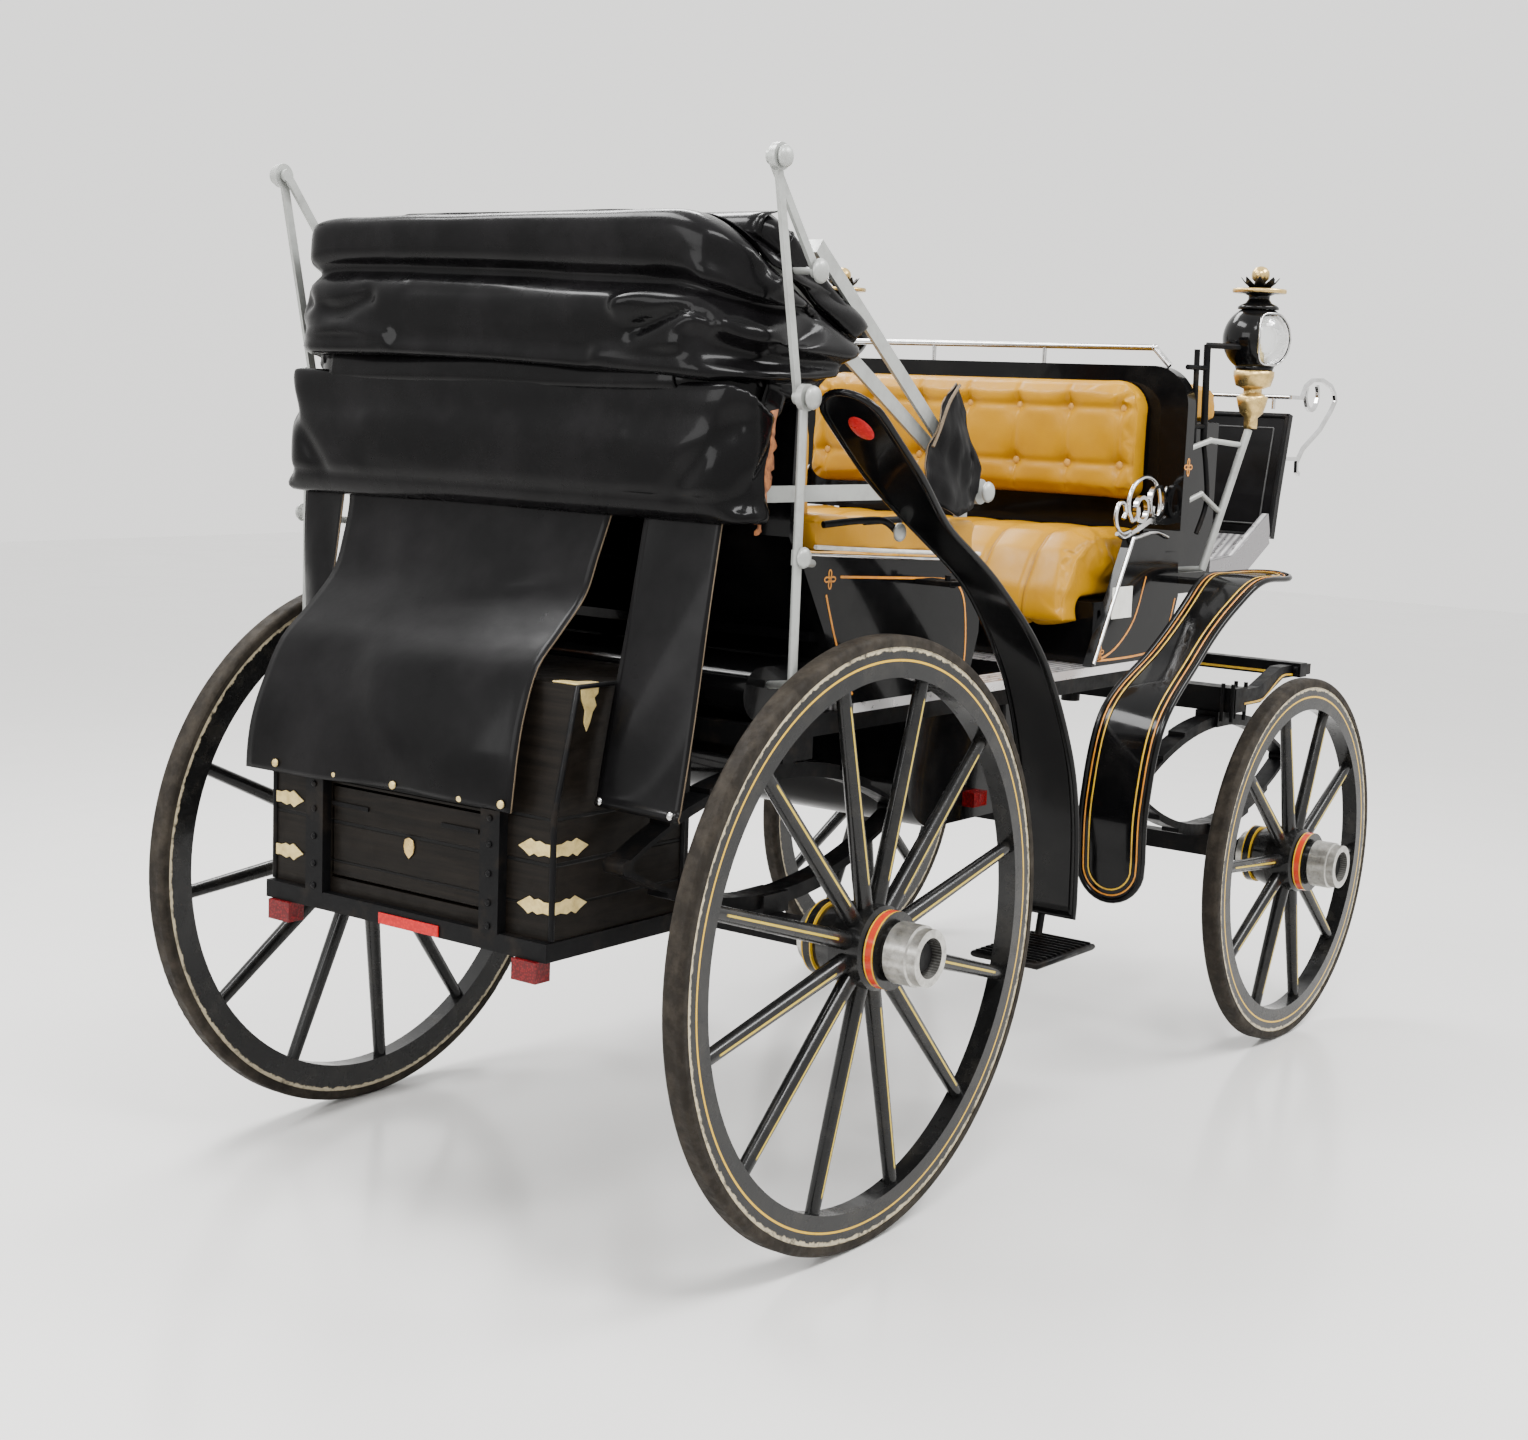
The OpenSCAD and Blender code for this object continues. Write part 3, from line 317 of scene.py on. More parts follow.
def wheel_paint(key, centre, side, r, spokes, phase):
    """Black painted wheel with a worn cream edge, yellow lines, a red hub band and a steel cap."""
    s = Sh(key + "_wheel_paint", spec=0.2, coat=0.15, coat_rough=0.1)

    def both(*values):
        total = values[0]
        for v in values[1:]:
            total = s.f("MULTIPLY", total, v)
        return total

    x, y, z = s.axes()
    dx, dz = s.f("SUBTRACT", x, centre[0]), s.f("SUBTRACT", z, centre[2])
    out = s.f("MULTIPLY", s.f("SUBTRACT", y, centre[1]), float(side))
    rad = s.f("SQRT", s.f("ADD", s.f("MULTIPLY", dx, dx), s.f("MULTIPLY", dz, dz)))
    col = s.mix(s.ramp(s.noise(18, 6, 0.6), 0.5, 0.8), (0.006, 0.006, 0.006), (0.022, 0.020, 0.017))
    # worn cream edge next to the tyre, and the rim's line
    faces = s.f("MAXIMUM", s.ramp(out, 0.0165, 0.0185), s.ramp(out, -0.0165, -0.0185))
    wobble = s.ramp(s.noise(60, 5, 0.7), 0.35, 0.7, -0.003, 0.003)
    worn = both(faces, s.band(s.f("ADD", rad, wobble), r - 0.0275, r - 0.0195, 0.0012),
                s.ramp(s.noise(45, 6, 0.7), 0.3, 0.5))
    col = s.mix(worn, col, (0.42, 0.36, 0.24))
    col = s.mix(both(s.ramp(out, 0.0165, 0.0185), s.band(rad, r - 0.0455, r - 0.0415)), col, GOLD)
    # one line along each spoke's outer side
    pitch = 2 * math.pi / spokes
    turn = s.f("DIVIDE", s.f("SUBTRACT", s.f("ARCTAN2", dz, dx), math.radians(phase)), pitch)
    u = s.f("SUBTRACT", s.f("FRACT", s.f("ADD", turn, 50.5)), 0.5)
    across = both(u, pitch, rad)
    spoke = both(s.band(across, -0.0021, 0.0021), s.band(rad, 0.12, r - 0.105, 0.003),
                 s.ramp(out, 0.006, 0.009), s.ramp(out, 0.019, 0.0185))
    col = s.mix(spoke, col, (0.46, 0.33, 0.03))
    # hub bands
    hub = s.ramp(rad, 0.088, 0.084)
    col = s.mix(both(hub, s.band(out, 0.0385, 0.0575)), col, (0.50, 0.035, 0.012))
    edges = s.band(out, 0.0385, 0.0415)
    for lo, hi in ((0.0545, 0.0575), (-0.078, -0.0755), (-0.0955, -0.093)):
        edges = s.f("MAXIMUM", edges, s.band(out, lo, hi))
    col = s.mix(both(hub, edges), col, GOLD)
    # steel cap with its dark hole
    cap = s.f("MAXIMUM", s.ramp(out, 0.0678, 0.0682), both(s.ramp(out, -0.0955, -0.0965), hub))
    hole = both(s.ramp(rad, 0.0362, 0.0358), s.ramp(out, 0.1, 0.1005))
    steel = both(cap, s.f("SUBTRACT", 1.0, hole))
    wear = s.mix(s.ramp(s.noise(70, 5, 0.7), 0.4, 0.75), (0.50, 0.49, 0.46), (0.24, 0.23, 0.21))
    s.base(s.mix(steel, col, wear))
    s.metal(both(steel, 0.9))
    s.rough(s.f("MAXIMUM", both(steel, 0.34), s.ramp(s.noise(28, 4), 0.3, 0.75, 0.12, 0.38)))
    s.bump(s.noise(120, 4), 0.0007, 0.3)
    M[key] = s.m


# Each wheel: the number of its spokes and the angle of one of them.
WHEELS = {"rear_right": (12, 13.5), "rear_left": (12, -24.9), "front_right": (10, 31.3),
          "front_left": (10, -7.2)}
NODE_PAINT = {
    "iron": ["chassis_frame", "rear_axle", "front_axle", "trunk_rack", "step_plates",
             "rear_springs", "front_springs", "splinter_frame"],
    "lacquer": ["foot_well", "rear_side_panels", "rear_seat_shell", "front_side_panels",
                "front_seat_box", "front_seat_frame", "rear_fenders", "front_fenders", "lamps"],
    "grey_iron": ["lamp_stays", "hood_fixed_irons", "hood_main_bow", "hood_front_bow",
                  "landau_lower_irons", "landau_upper_irons"],
    "steel": ["chrome_rails"],
    "floor": ["body_floor", "footboard"],
    "glass": ["lamp_glass"],
    "trunk": ["trunk_box", "trunk_door"],
    "red": ["reflectors"],
    "curtain": ["dash_board"],
    "tyre": [wheel + "_tyre" for wheel in WHEELS],
}
for wheel, (spokes, phase) in WHEELS.items():
    lo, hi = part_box(wheel + "_tyre")
    wheel_paint(wheel, (lo + hi) / 2, -1 if "right" in wheel else 1, (hi.z - lo.z) / 2, spokes, phase)
    NODE_PAINT[wheel] = [wheel + "_wheel"]
for key, nodes in NODE_PAINT.items():
    for node in nodes:
        NODES[node].data.materials.clear()
        NODES[node].data.materials.append(M[key])

# The record's slot that a piece of each material takes its finish from.
SLOTS = {"iron": "black_iron", "lacquer": "black_lacquer", "label": "black_lacquer", "gold": "black_lacquer",
         "orange": "black_lacquer", "steel": "bright_steel", "grey_iron": "grey_steel",
         "brass": "lamp_brass", "cream_brass": "lamp_brass", "red_bright": "red_lens",
         "raw_edge": "hood_leather", "stitching": "hood_leather", "lining": "hood_leather",
         "hood": "hood_leather", "curtain": "hood_leather",
         "tan": "tan_leather", "tan_pleated": "tan_leather", "button": "tan_leather", "white": "tan_leather"}

# ------------------------------------------------------------------ mesh helpers


def link(o):
    bpy.context.scene.collection.objects.link(o)
    return o


def finish_mesh(me, *kinds, smooth=True):
    """Gives a mesh its materials, by their keys, and its shading."""
    me.polygons.foreach_set("use_smooth", [smooth] * len(me.polygons))
    me.materials.clear()
    for kind in kinds:
        me.materials.append(M[kind])


def new_mesh(name, verts, faces, *kinds, smooth=True):
    me = bpy.data.meshes.new(name)
    me.from_pydata([tuple(v) for v in verts], [], faces)
    me.update()
    finish_mesh(me, *kinds, smooth=smooth)
    return link(bpy.data.objects.new(name, me))


def evaluated_mesh(o, **options):
    bpy.context.view_layer.update()
    dg = bpy.context.evaluated_depsgraph_get()
    return bpy.data.meshes.new_from_object(o.evaluated_get(dg), **options)


def bake(o, kind=None, **settings):
    """Adds a modifier with its settings, if one is named, and applies all modifiers of o."""
    if kind:
        m = o.modifiers.new("m", kind)
        for key, value in settings.items():
            setattr(m, key, value)
    dg = bpy.context.evaluated_depsgraph_get()
    me = evaluated_mesh(o, preserve_all_data_layers=True, depsgraph=dg)
    o.modifiers.clear()
    o.data = me
    return o


def thicken(o, thickness, offset=0.0, rim=0):
    return bake(o, "SOLIDIFY", thickness=thickness, offset=offset, material_offset_rim=rim)


def bevelled(o, width):
    return bake(o, "BEVEL", width=width, segments=2, limit_method="ANGLE")


def refine(o):
    return bake(o, "SUBSURF", levels=1, render_levels=1)


def relaxed(o, times):
    return bake(o, "SMOOTH", factor=0.5, iterations=times)


def piece(o, kind, body=BODY, *nodes):
    """Sets the body that o rides on, its slot, and the CAD nodes that it replaces."""
    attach(o, body)
    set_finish(o, SLOTS[kind])
    if nodes:
        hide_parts(*nodes)
    return o


def tube(name, paths, r, kind, body=BODY, cyclic=False, res=3):
    """Round tubes along lists of points, as one mesh."""
    cu = bpy.data.curves.new(name, "CURVE")
    cu.dimensions = "3D"
    cu.bevel_depth = r
    cu.bevel_resolution = res
    cu.use_fill_caps = True
    for pts in paths:
        sp = cu.splines.new("POLY")
        sp.points.add(len(pts) - 1)
        for i, p in enumerate(pts):
            sp.points[i].co = (*p, 1.0)
        sp.use_cyclic_u = cyclic
        sp.use_smooth = True
    o = link(bpy.data.objects.new(name, cu))
    me = evaluated_mesh(o)
    bpy.data.objects.remove(o)
    finish_mesh(me, kind)
    return piece(link(bpy.data.objects.new(name, me)), kind, body)


def smooth_path(pts, n=8):
    """Catmull-Rom curve through points, n steps between two of them."""
    pts = [Vector(p) for p in pts]
    out = []
    for i in range(len(pts) - 1):
        a, b, c, d = pts[max(i - 1, 0)], pts[i], pts[i + 1], pts[min(i + 2, len(pts) - 1)]
        for k in range(n):
            t = k / n
            cubic = (2 * a - 5 * b + 4 * c - d) * t * t + (3 * b - a - 3 * c + d) * t ** 3
            out.append(0.5 * (2 * b + (c - a) * t + cubic))
    return out + [pts[-1]]


def sided(s, *pts):
    """The points, in metres, on side s: -1 right, 1 left."""
    return [xyz(x, s * y, z) for x, y, z in pts]


def lathe(name, profile, centre, axis, kind, n=32, body=BODY):
    """Turned piece: profile is (radius, height) in metres along axis from centre."""
    q = Vector((0, 0, 1)).rotation_difference(Vector(axis).normalized())
    verts, faces = [], []
    for r, h in profile:
        for k in range(n):
            a = 2 * math.pi * k / n
            verts.append(Vector(centre) + q @ Vector((r * math.cos(a), r * math.sin(a), h)))
    for i in range(len(profile) - 1):
        for k in range(n):
            k2 = (k + 1) % n
            faces.append((i * n + k, i * n + k2, (i + 1) * n + k2, (i + 1) * n + k))
    faces.append(tuple(range(n - 1, -1, -1)))
    faces.append(tuple((len(profile) - 1) * n + k for k in range(n)))
    return piece(new_mesh(name, verts, faces, kind), kind, body)


def join(name, objs):
    """Joins pieces on one body into one object, with the first one's body and slot."""
    bm = bmesh.new()
    mats = list(dict.fromkeys(m for o in objs for m in o.data.materials))
    for o in objs:
        for p in o.data.polygons:
            p.material_index = mats.index(o.data.materials[p.material_index])
        bm.from_mesh(o.data)
    me = bpy.data.meshes.new(name)
    bm.to_mesh(me)
    bm.free()
    for m in mats:
        me.materials.append(m)
    body, slot = objs[0]["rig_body"], objs[0]["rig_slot"]
    for o in objs:
        bpy.data.objects.remove(o)
    o = link(bpy.data.objects.new(name, me))
    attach(o, body)
    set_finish(o, slot)
    return o


def slab(name, centre, half, kind, body=BODY, bevel=0.0):
    """A thin plate or bracket: its centre and half sizes, in metres."""
    signs = [(i, j, k) for i in (-1, 1) for j in (-1, 1) for k in (-1, 1)]
    verts = [[c + q * h for c, q, h in zip(centre, sign, half)] for sign in signs]
    faces = [(0, 1, 3, 2), (4, 6, 7, 5), (0, 4, 5, 1), (2, 3, 7, 6), (0, 2, 6, 4), (1, 5, 7, 3)]
    o = new_mesh(name, verts, faces, kind, smooth=False)
    if bevel:
        bevelled(o, bevel)
    return piece(o, kind, body)


def vertex_data(o, what):
    values = np.empty(len(o.data.vertices) * 3)
    o.data.vertices.foreach_get(what, values)
    return values.reshape(-1, 3)


def coords(o):
    return vertex_data(o, "co")


def normals(o):
    return vertex_data(o, "normal")


def put_coords(o, co):
    o.data.vertices.foreach_set("co", np.ascontiguousarray(co).ravel())
    o.data.update()


def line_dist(co, pts):
    """Distance of each point from a line through pts."""
    best = np.full(len(co), 1e9)
    pts = [np.array(p) for p in pts]
    for a, b in zip(pts[:-1], pts[1:]):
        d = b - a
        t = np.clip(((co - a) @ d) / max(d @ d, 1e-12), 0, 1)
        best = np.minimum(best, np.linalg.norm(co - (a + t[:, None] * d), axis=1))
    return best


def wave(co, seed, scale):
    """Smooth seeded noise from a few sine waves."""
    rng = np.random.default_rng(seed)
    v = np.zeros(len(co))
    for k in range(7):
        d = rng.normal(size=3)
        d *= scale * (0.6 + 0.25 * k) / np.linalg.norm(d)
        v += np.sin(co @ d + rng.uniform(0, 6.28)) / (1 + 0.5 * k)
    return v / 3.0


def bell(v, width):
    return np.exp(-(v / width) ** 2)


def front_area(o):
    """Area of one face of a sheet, without its rim."""
    return sum(p.area for p in o.data.polygons if p.material_index == 0) / 2


def soft_copy(node, name, voxel, shrink, relax, *kinds):
    """A remeshed, smoothed copy of a CAD solid, ready to be shaped."""
    o = link(bpy.data.objects.new(name, NODES[node].data.copy()))
    bake(o, "REMESH", mode="VOXEL", voxel_size=voxel)
    relaxed(o, relax)
    put_coords(o, coords(o) - normals(o) * shrink)
    finish_mesh(o.data, *kinds)
    return o


def inflate(o, pressure, cap):
    """Swells a closed pad with a short cloth simulation; a point may move cap at most."""
    frames = 20
    before = coords(o)
    m = o.modifiers.new("c", "CLOTH")
    m.settings.use_pressure = True
    m.settings.uniform_pressure_force = pressure
    m.settings.quality = 5
    m.settings.mass = 0.3
    m.settings.effector_weights.gravity = 0
    m.collision_settings.use_collision = False
    m.point_cache.frame_start, m.point_cache.frame_end = 1, frames
    for f in range(1, frames + 1):
        bpy.context.scene.frame_set(f)
        bpy.context.view_layer.update()
    bake(o)
    bpy.context.scene.frame_set(1)
    d = coords(o) - before
    d *= np.minimum(1.0, cap / np.maximum(np.linalg.norm(d, axis=1), 1e-9))[:, None]
    put_coords(o, before + d)


def crease(o, lines):
    """lines: (points, width, depth); depth pushes in along the normal, or out if negative."""
    co, no = coords(o), normals(o)
    d = sum(depth * bell(line_dist(co, pts), w) for pts, w, depth in lines)
    put_coords(o, co - no * d[:, None])


def both_sides(fn):
    for s, tag in ((-1, "right"), (1, "left")):
        fn(s, tag)


# ------------------------------------------------------------------ camera, floor, light

YAW, PITCH, ROLL = math.radians(36.531), math.radians(8.244), math.radians(2.260)
look = Vector((math.cos(YAW) * math.cos(PITCH), math.sin(YAW) * math.cos(PITCH), -math.sin(PITCH)))
right = look.cross(Vector((0, 0, 1))).normalized()
up = right.cross(look)
right, up = math.cos(ROLL) * right + math.sin(ROLL) * up, -math.sin(ROLL) * right + math.cos(ROLL) * up
cam = bpy.data.cameras.new("camera")
cam.lens, cam.sensor_width, cam.sensor_fit = 52.665, 36.0, "HORIZONTAL"
cam.clip_end = 100
cam_o = link(bpy.data.objects.new("camera", cam))
rot = Matrix((right, up, -look)).transposed().to_4x4()
cam_o.matrix_world = Matrix.Translation(xyz(-3204.7, -2760.9, 1499.9)) @ rot
bpy.context.scene.camera = cam_o

stage_floor = new_mesh("floor", [(-14, -14, 0), (14, -14, 0), (14, 14, 0), (-14, 14, 0)], [(0, 1, 2, 3)],
                       "pale_floor", smooth=False)


def light(name, loc, target, size, power):
    la = bpy.data.lights.new(name, "AREA")
    la.shape = "RECTANGLE"
    la.size, la.size_y = size
    la.energy = power
    o = link(bpy.data.objects.new(name, la))
    o.location = loc
    o.rotation_euler = (Vector(target) - Vector(loc)).to_track_quat("-Z", "Y").to_euler()


light("ceiling_a", (1.2, -2.6, 4.2), (0.2, 0.0, 0.9), (2.4, 0.9), 190)
light("ceiling_b", (-1.6, 1.6, 4.4), (0.0, 0.0, 0.9), (2.4, 0.9), 190)
light("ceiling_c", (1.6, 2.6, 4.4), (0.2, 0.0, 0.9), (2.4, 0.9), 170)
light("ceiling_d", (-2.2, -2.2, 4.2), (0.0, 0.0, 0.8), (1.8, 0.8), 150)
light("rear_fill", (-4.6, 0.6, 2.6), (0.0, 0.0, 1.0), (2.6, 1.6), 90)


def studio_world(low, high, strength):
    """A pale backdrop, low at the horizon and high above."""
    world = bpy.data.worlds.new("studio")
    world.use_nodes = True
    nodes, links = world.node_tree.nodes, world.node_tree.links
    place = nodes.new("ShaderNodeTexCoord")
    split = nodes.new("ShaderNodeSeparateXYZ")
    blend = nodes.new("ShaderNodeValToRGB")
    links.new(place.outputs["Generated"], split.inputs[0])
    links.new(split.outputs[2], blend.inputs[0])
    for stop, position, colour in zip(blend.color_ramp.elements, (0.0, 0.7), (low, high)):
        stop.position, stop.color = position, (*colour, 1)
    links.new(blend.outputs[0], nodes["Background"].inputs[0])
    nodes["Background"].inputs[1].default_value = strength
    bpy.context.scene.world = world


studio_world((0.86, 0.85, 0.83), (0.92, 0.92, 0.91), 1.9)

# ------------------------------------------------------------------ soft goods


def clamp(o, node, lo, hi):
    """Keeps o inside its CAD node's box, grown by lo and hi on the low and high sides."""
    a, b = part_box(node)
    co = coords(o)
    put_coords(o, np.clip(co, np.array(a) - np.array(lo), np.array(b) + np.array(hi)))


def buttons(name, places, r):
    profile = [(r, -0.003), (r, 0.0), (r * 0.93, 0.0025), (r * 0.7, 0.0048), (r * 0.35, 0.006),
               (0.001, 0.0064)]
    join(name, [lathe(name + str(k), profile, p, (-1, 0, 0), "button", 14) for k, p in enumerate(places)])


def round_corners(o, node, r_top, r_low, inset):
    """Pulls the corners of an upright cushion in to arcs, seen from the front."""
    a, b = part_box(node)
    co = coords(o)
    for r, centre, up in ((r_top, b.z - r_top, 1), (r_low, a.z + r_low, -1)):
        yc = b.y - r
        dy, dz = np.abs(co[:, 1]) - yc, co[:, 2] - centre
        corner = (dy > 0) & (dz * up > 0)
        n = np.hypot(dy, dz)
        k = np.where(corner & (n > r - inset), (r - inset) / np.maximum(n, 1e-6), 1.0)
        co[:, 1] = np.where(corner, np.sign(co[:, 1]) * (yc + dy * k), co[:, 1])
        co[:, 2] = np.where(corner, centre + dz * k, co[:, 2])
    put_coords(o, co)


def front_back():
    """Deep-buttoned back: two rows of seven buttons with seams between them."""
    columns = [k * 0.1325 for k in range(-3, 4)]
    high, low = 1.503, 1.378
    o = soft_copy("front_seat_back", "front_back_cushion", 0.0065, 0.006, 8, "tan")
    round_corners(o, "front_seat_back", 0.085, 0.045, 0.006)
    inflate(o, 4.0, 0.010)
    clamp(o, "front_seat_back", (0.006, 0.003, 0.003), (-0.0005, 0.003, 0.003))
    refine(o)
    co, no = coords(o), normals(o)
    y, z = co[:, 1], co[:, 2]
    spots = [(a, b) for a in columns for b in (high, low)]
    d = 0.0012 * wave(co, 5, 60)
    for a, b in spots:
        r = np.hypot(y - a, z - b)
        d += 0.011 * bell(r, 0.019) + 0.006 * bell(r, 0.045)
    for a in columns:
        d += 0.0065 * bell(y - a, 0.006) * (z > high) + 0.0055 * bell(y - a, 0.007) * (z <= low)
        d += 0.004 * bell(y - a, 0.008) * ((z > low) & (z <= high))
    for b in (high, low):
        d += 0.0045 * bell(z - b, 0.009)
    co[:, 0] += d * np.clip(-no[:, 0], 0, 1) ** 2
    put_coords(o, co)
    piece(o, "tan", BODY, "front_seat_back")
    places = []
    for a, b in spots:
        k = np.argmin(np.hypot(y - a, z - b) + 10 * (no[:, 0] > -0.3))
        places.append((co[k][0] - 0.0015, a, b))
    buttons("front_back_buttons", places, 0.0115)


def pleated(node, name, lo, hi, cap=0.012):
    """A cushion sewn in pleats that run across the seat's width; lo and hi are as in clamp."""
    depth = 0.006
    o = soft_copy(node, name, 0.0075, 0.006, 8, "tan_pleated")
    inflate(o, 4.0, cap)
    clamp(o, node, lo, hi)
    refine(o)
    co, no = coords(o), normals(o)
    u = (co[:, 1] / PLEAT + 100.0) % 1.0
    u = np.minimum(u, 1 - u) * PLEAT
    d = depth * (bell(u, 0.007) + 0.5 * bell(u, 0.03)) * (1 - np.abs(no[:, 1])) + 0.0010 * wave(co, 11, 45)
    put_coords(o, co - no * d[:, None])
    piece(o, "tan_pleated", BODY, node)


front_back()
pleated("front_seat_cushion", "front_bench_cushion", (0.006, 0.003, -0.0005), (-0.0005, 0.003, 0.006))
pleated("rear_seat_cushion", "rear_bench_cushion", (-0.0005, 0.003, -0.0005), (0.008, 0.003, 0.008))
pleated("rear_seat_back", "rear_back_cushion", (-0.0005, 0.001, -0.0005), (0.008, 0.001, 0.004), 0.008)
pleated("driver_seat", "driver_bench_cushion", (-0.0005, 0.004, -0.0005), (0.008, 0.004, 0.008))


def arm_pads():
    o = soft_copy("arm_pads", "arm_rest_pads", 0.005, 0.003, 5, "tan")
    inflate(o, 3.0, 0.006)
    clamp(o, "arm_pads", (0.006, 0.0, 0.0), (0.004, 0.0, 0.006))
    refine(o)
    piece(o, "tan", BODY, "arm_pads")


def arm_piping(s, tag):
    line = sided(s, (-30, 506, 1243), (200, 506, 1229), (500, 506, 1214), (507, 490, 1214))
    tube("arm_piping_" + tag, [smooth_path(line, 4)], 0.0042, "white")


arm_pads()
both_sides(arm_piping)


def hood_part(node, name, body, shape, seed, amp, folds):
    """One stack of the hood's folded leather: its shape, noise of its own, and folds along lines."""
    o = soft_copy(node, name, 0.009, 0.002, 22, "hood", "lining")
    if node == "hood_lower_fold":
        # its side wings end short, in a ragged front edge
        co = coords(o)
        x = co[:, 0] - REAR_AXLE_X
        short = -0.30 + (x + 0.30) * (0.42 + 0.05 * np.sin(co[:, 2] * 45))
        co[:, 0] = REAR_AXLE_X + np.where(x > -0.30, short, x)
        put_coords(o, co)
    co, no = coords(o), normals(o)
    d = shape(co, no) + amp * wave(co * np.array([1, 1, 2.2]), seed, 9) + 0.35 * amp * wave(co, seed + 1, 27)
    co = co + no * d[:, None]
    high = np.clip((co[:, 2] - 1.52) / 0.26, 0, 1)
    fall = np.where(co[:, 1] < 0, 0.085, 0.030) * np.clip((np.abs(co[:, 1]) - 0.38) / 0.16, 0, 1.2) ** 2
    co[:, 2] -= fall * high
    put_coords(o, co)
    crease(o, [(smooth_path([xyz(*p) for p in pts], 5), width, depth) for pts, width, depth in folds])
    relaxed(o, 2)
    for p in o.data.polygons:
        inward = -p.normal.y if p.center.y > 0 else p.normal.y
        lined = abs(p.center.y) < 0.480 and inward > 0.4 and p.center.x > REAR_AXLE_X - 0.17
        p.material_index = 1 if lined else 0
    piece(o, "hood", body, node)


def outside(co, no):
    """1 on the hood's outer side faces and back."""
    return ((np.abs(no[:, 1]) > 0.35) & (np.abs(co[:, 1]) > 0.48) | (no[:, 0] < -0.35)).astype(float)


def lower_shape(co, no):
    z = co[:, 2]
    out = outside(co, no)
    return out * (0.010 * bell(z - 1.300, 0.012) - 0.006 * bell(z - 1.325, 0.010)
                  - 0.006 * bell(z - 1.455, 0.03))


def middle_shape(co, no):
    z, x, y = co[:, 2], co[:, 0] - REAR_AXLE_X, co[:, 1]
    out = outside(co, no)
    tilt = z - 0.03 * np.clip((x + 0.30) / 0.5, 0, 1) - 0.012 * np.sin(y * 3.1 + 0.5)
    d = out * (0.016 * bell(tilt - 1.548, 0.014) - 0.018 * bell(tilt - 1.522, 0.012))
    d += out * (0.010 * bell(tilt - 1.640, 0.03) - 0.026 * bell(tilt - 1.690, 0.016))
    side = np.clip((np.abs(y) - 0.40) / 0.12, 0, 1)
    folds = np.sin((tilt - 1.5) * 60 + 9 * x + 2 * np.sin(y * 9))
    return d + out * side * 0.012 * folds * bell(tilt - 1.61, 0.07)


def top_shape(co, no):
    z, x, y = co[:, 2], co[:, 0] - REAR_AXLE_X, co[:, 1]
    out = outside(co, no)
    d = out * (0.010 * bell(z - 1.785, 0.010) - 0.010 * bell(z - 1.745 - 0.02 * np.sin(4 * y), 0.02))
    return d + 0.006 * np.clip(no[:, 2], 0, 1) * np.sin(y * 7 + 1) * bell(x + 0.25, 0.12)


# Soft folds as (points in millimetres, width, depth); SWIRL runs round the right rear corner.
SWIRL = [
    ([(-335, -300, 1640), (-338, -385, 1672), (-330, -450, 1690), (-300, -520, 1665), (-260, -545, 1620)],
     0.016, -0.020),
    ([(-335, -330, 1600), (-338, -400, 1625), (-335, -455, 1640), (-325, -490, 1612), (-335, -450, 1585)],
     0.012, 0.020),
    ([(-338, -250, 1562), (-340, -380, 1572), (-335, -470, 1590), (-290, -530, 1640), (-200, -548, 1690)],
     0.012, -0.016),
    ([(-330, -480, 1720), (-290, -530, 1700), (-200, -550, 1712), (-100, -550, 1690)], 0.013, 0.018),
    ([(-250, -548, 1560), (-150, -550, 1600), (-60, -550, 1640), (20, -550, 1665)], 0.014, 0.018),
    ([(-250, -548, 1600), (-150, -550, 1640), (-60, -550, 1668)], 0.012, -0.014),
    ([(-335, 300, 1650), (-338, 380, 1625), (-320, 480, 1640)], 0.016, 0.014),
    ([(-335, 250, 1580), (-338, 380, 1592), (-300, 520, 1570)], 0.014, -0.012),
    ([(-250, 548, 1600), (-150, 550, 1640), (-60, 550, 1668)], 0.014, 0.014),
    ([(-338, -200, 1676), (-338, 0, 1668), (-338, 200, 1672)], 0.012, 0.010),
    ([(-338, 250, 1700), (-338, 60, 1712), (-338, -120, 1706)], 0.016, -0.008),
]
LOW = [
    ([(-340, -420, 1335), (-330, -480, 1400), (-300, -530, 1450)], 0.020, 0.010),
    ([(-300, -545, 1330), (-240, -552, 1400), (-200, -552, 1455)], 0.016, 0.012),
    ([(-240, -552, 1320), (-170, -552, 1380), (-120, -552, 1420)], 0.014, -0.010),
    ([(-340, 430, 1340), (-320, 500, 1420), (-280, 545, 1450)], 0.020, 0.010),
    ([(-345, -300, 1345), (-345, 0, 1332), (-345, 300, 1345)], 0.016, 0.005),
    ([(-345, -300, 1440), (-345, 0, 1452), (-345, 300, 1440)], 0.022, -0.006),
]
TOP = [
    ([(-300, -380, 1760), (-290, -470, 1745), (-230, -530, 1725)], 0.014, 0.014),
    ([(-200, -545, 1745), (-100, -545, 1715), (0, -545, 1690)], 0.014, 0.014),
    ([(-230, -300, 1800), (-220, 0, 1800), (-230, 300, 1800)], 0.030, 0.010),
]
hood_part("hood_lower_fold", "hood_lower_leather", BODY, lower_shape, 21, 0.0030, LOW)
hood_part("hood_middle_fold", "hood_middle_leather", "hood_main_bow", middle_shape, 22, 0.0045, SWIRL)
hood_part("hood_top_fold", "hood_top_leather", "hood_front_bow", top_shape, 23, 0.0040, TOP)


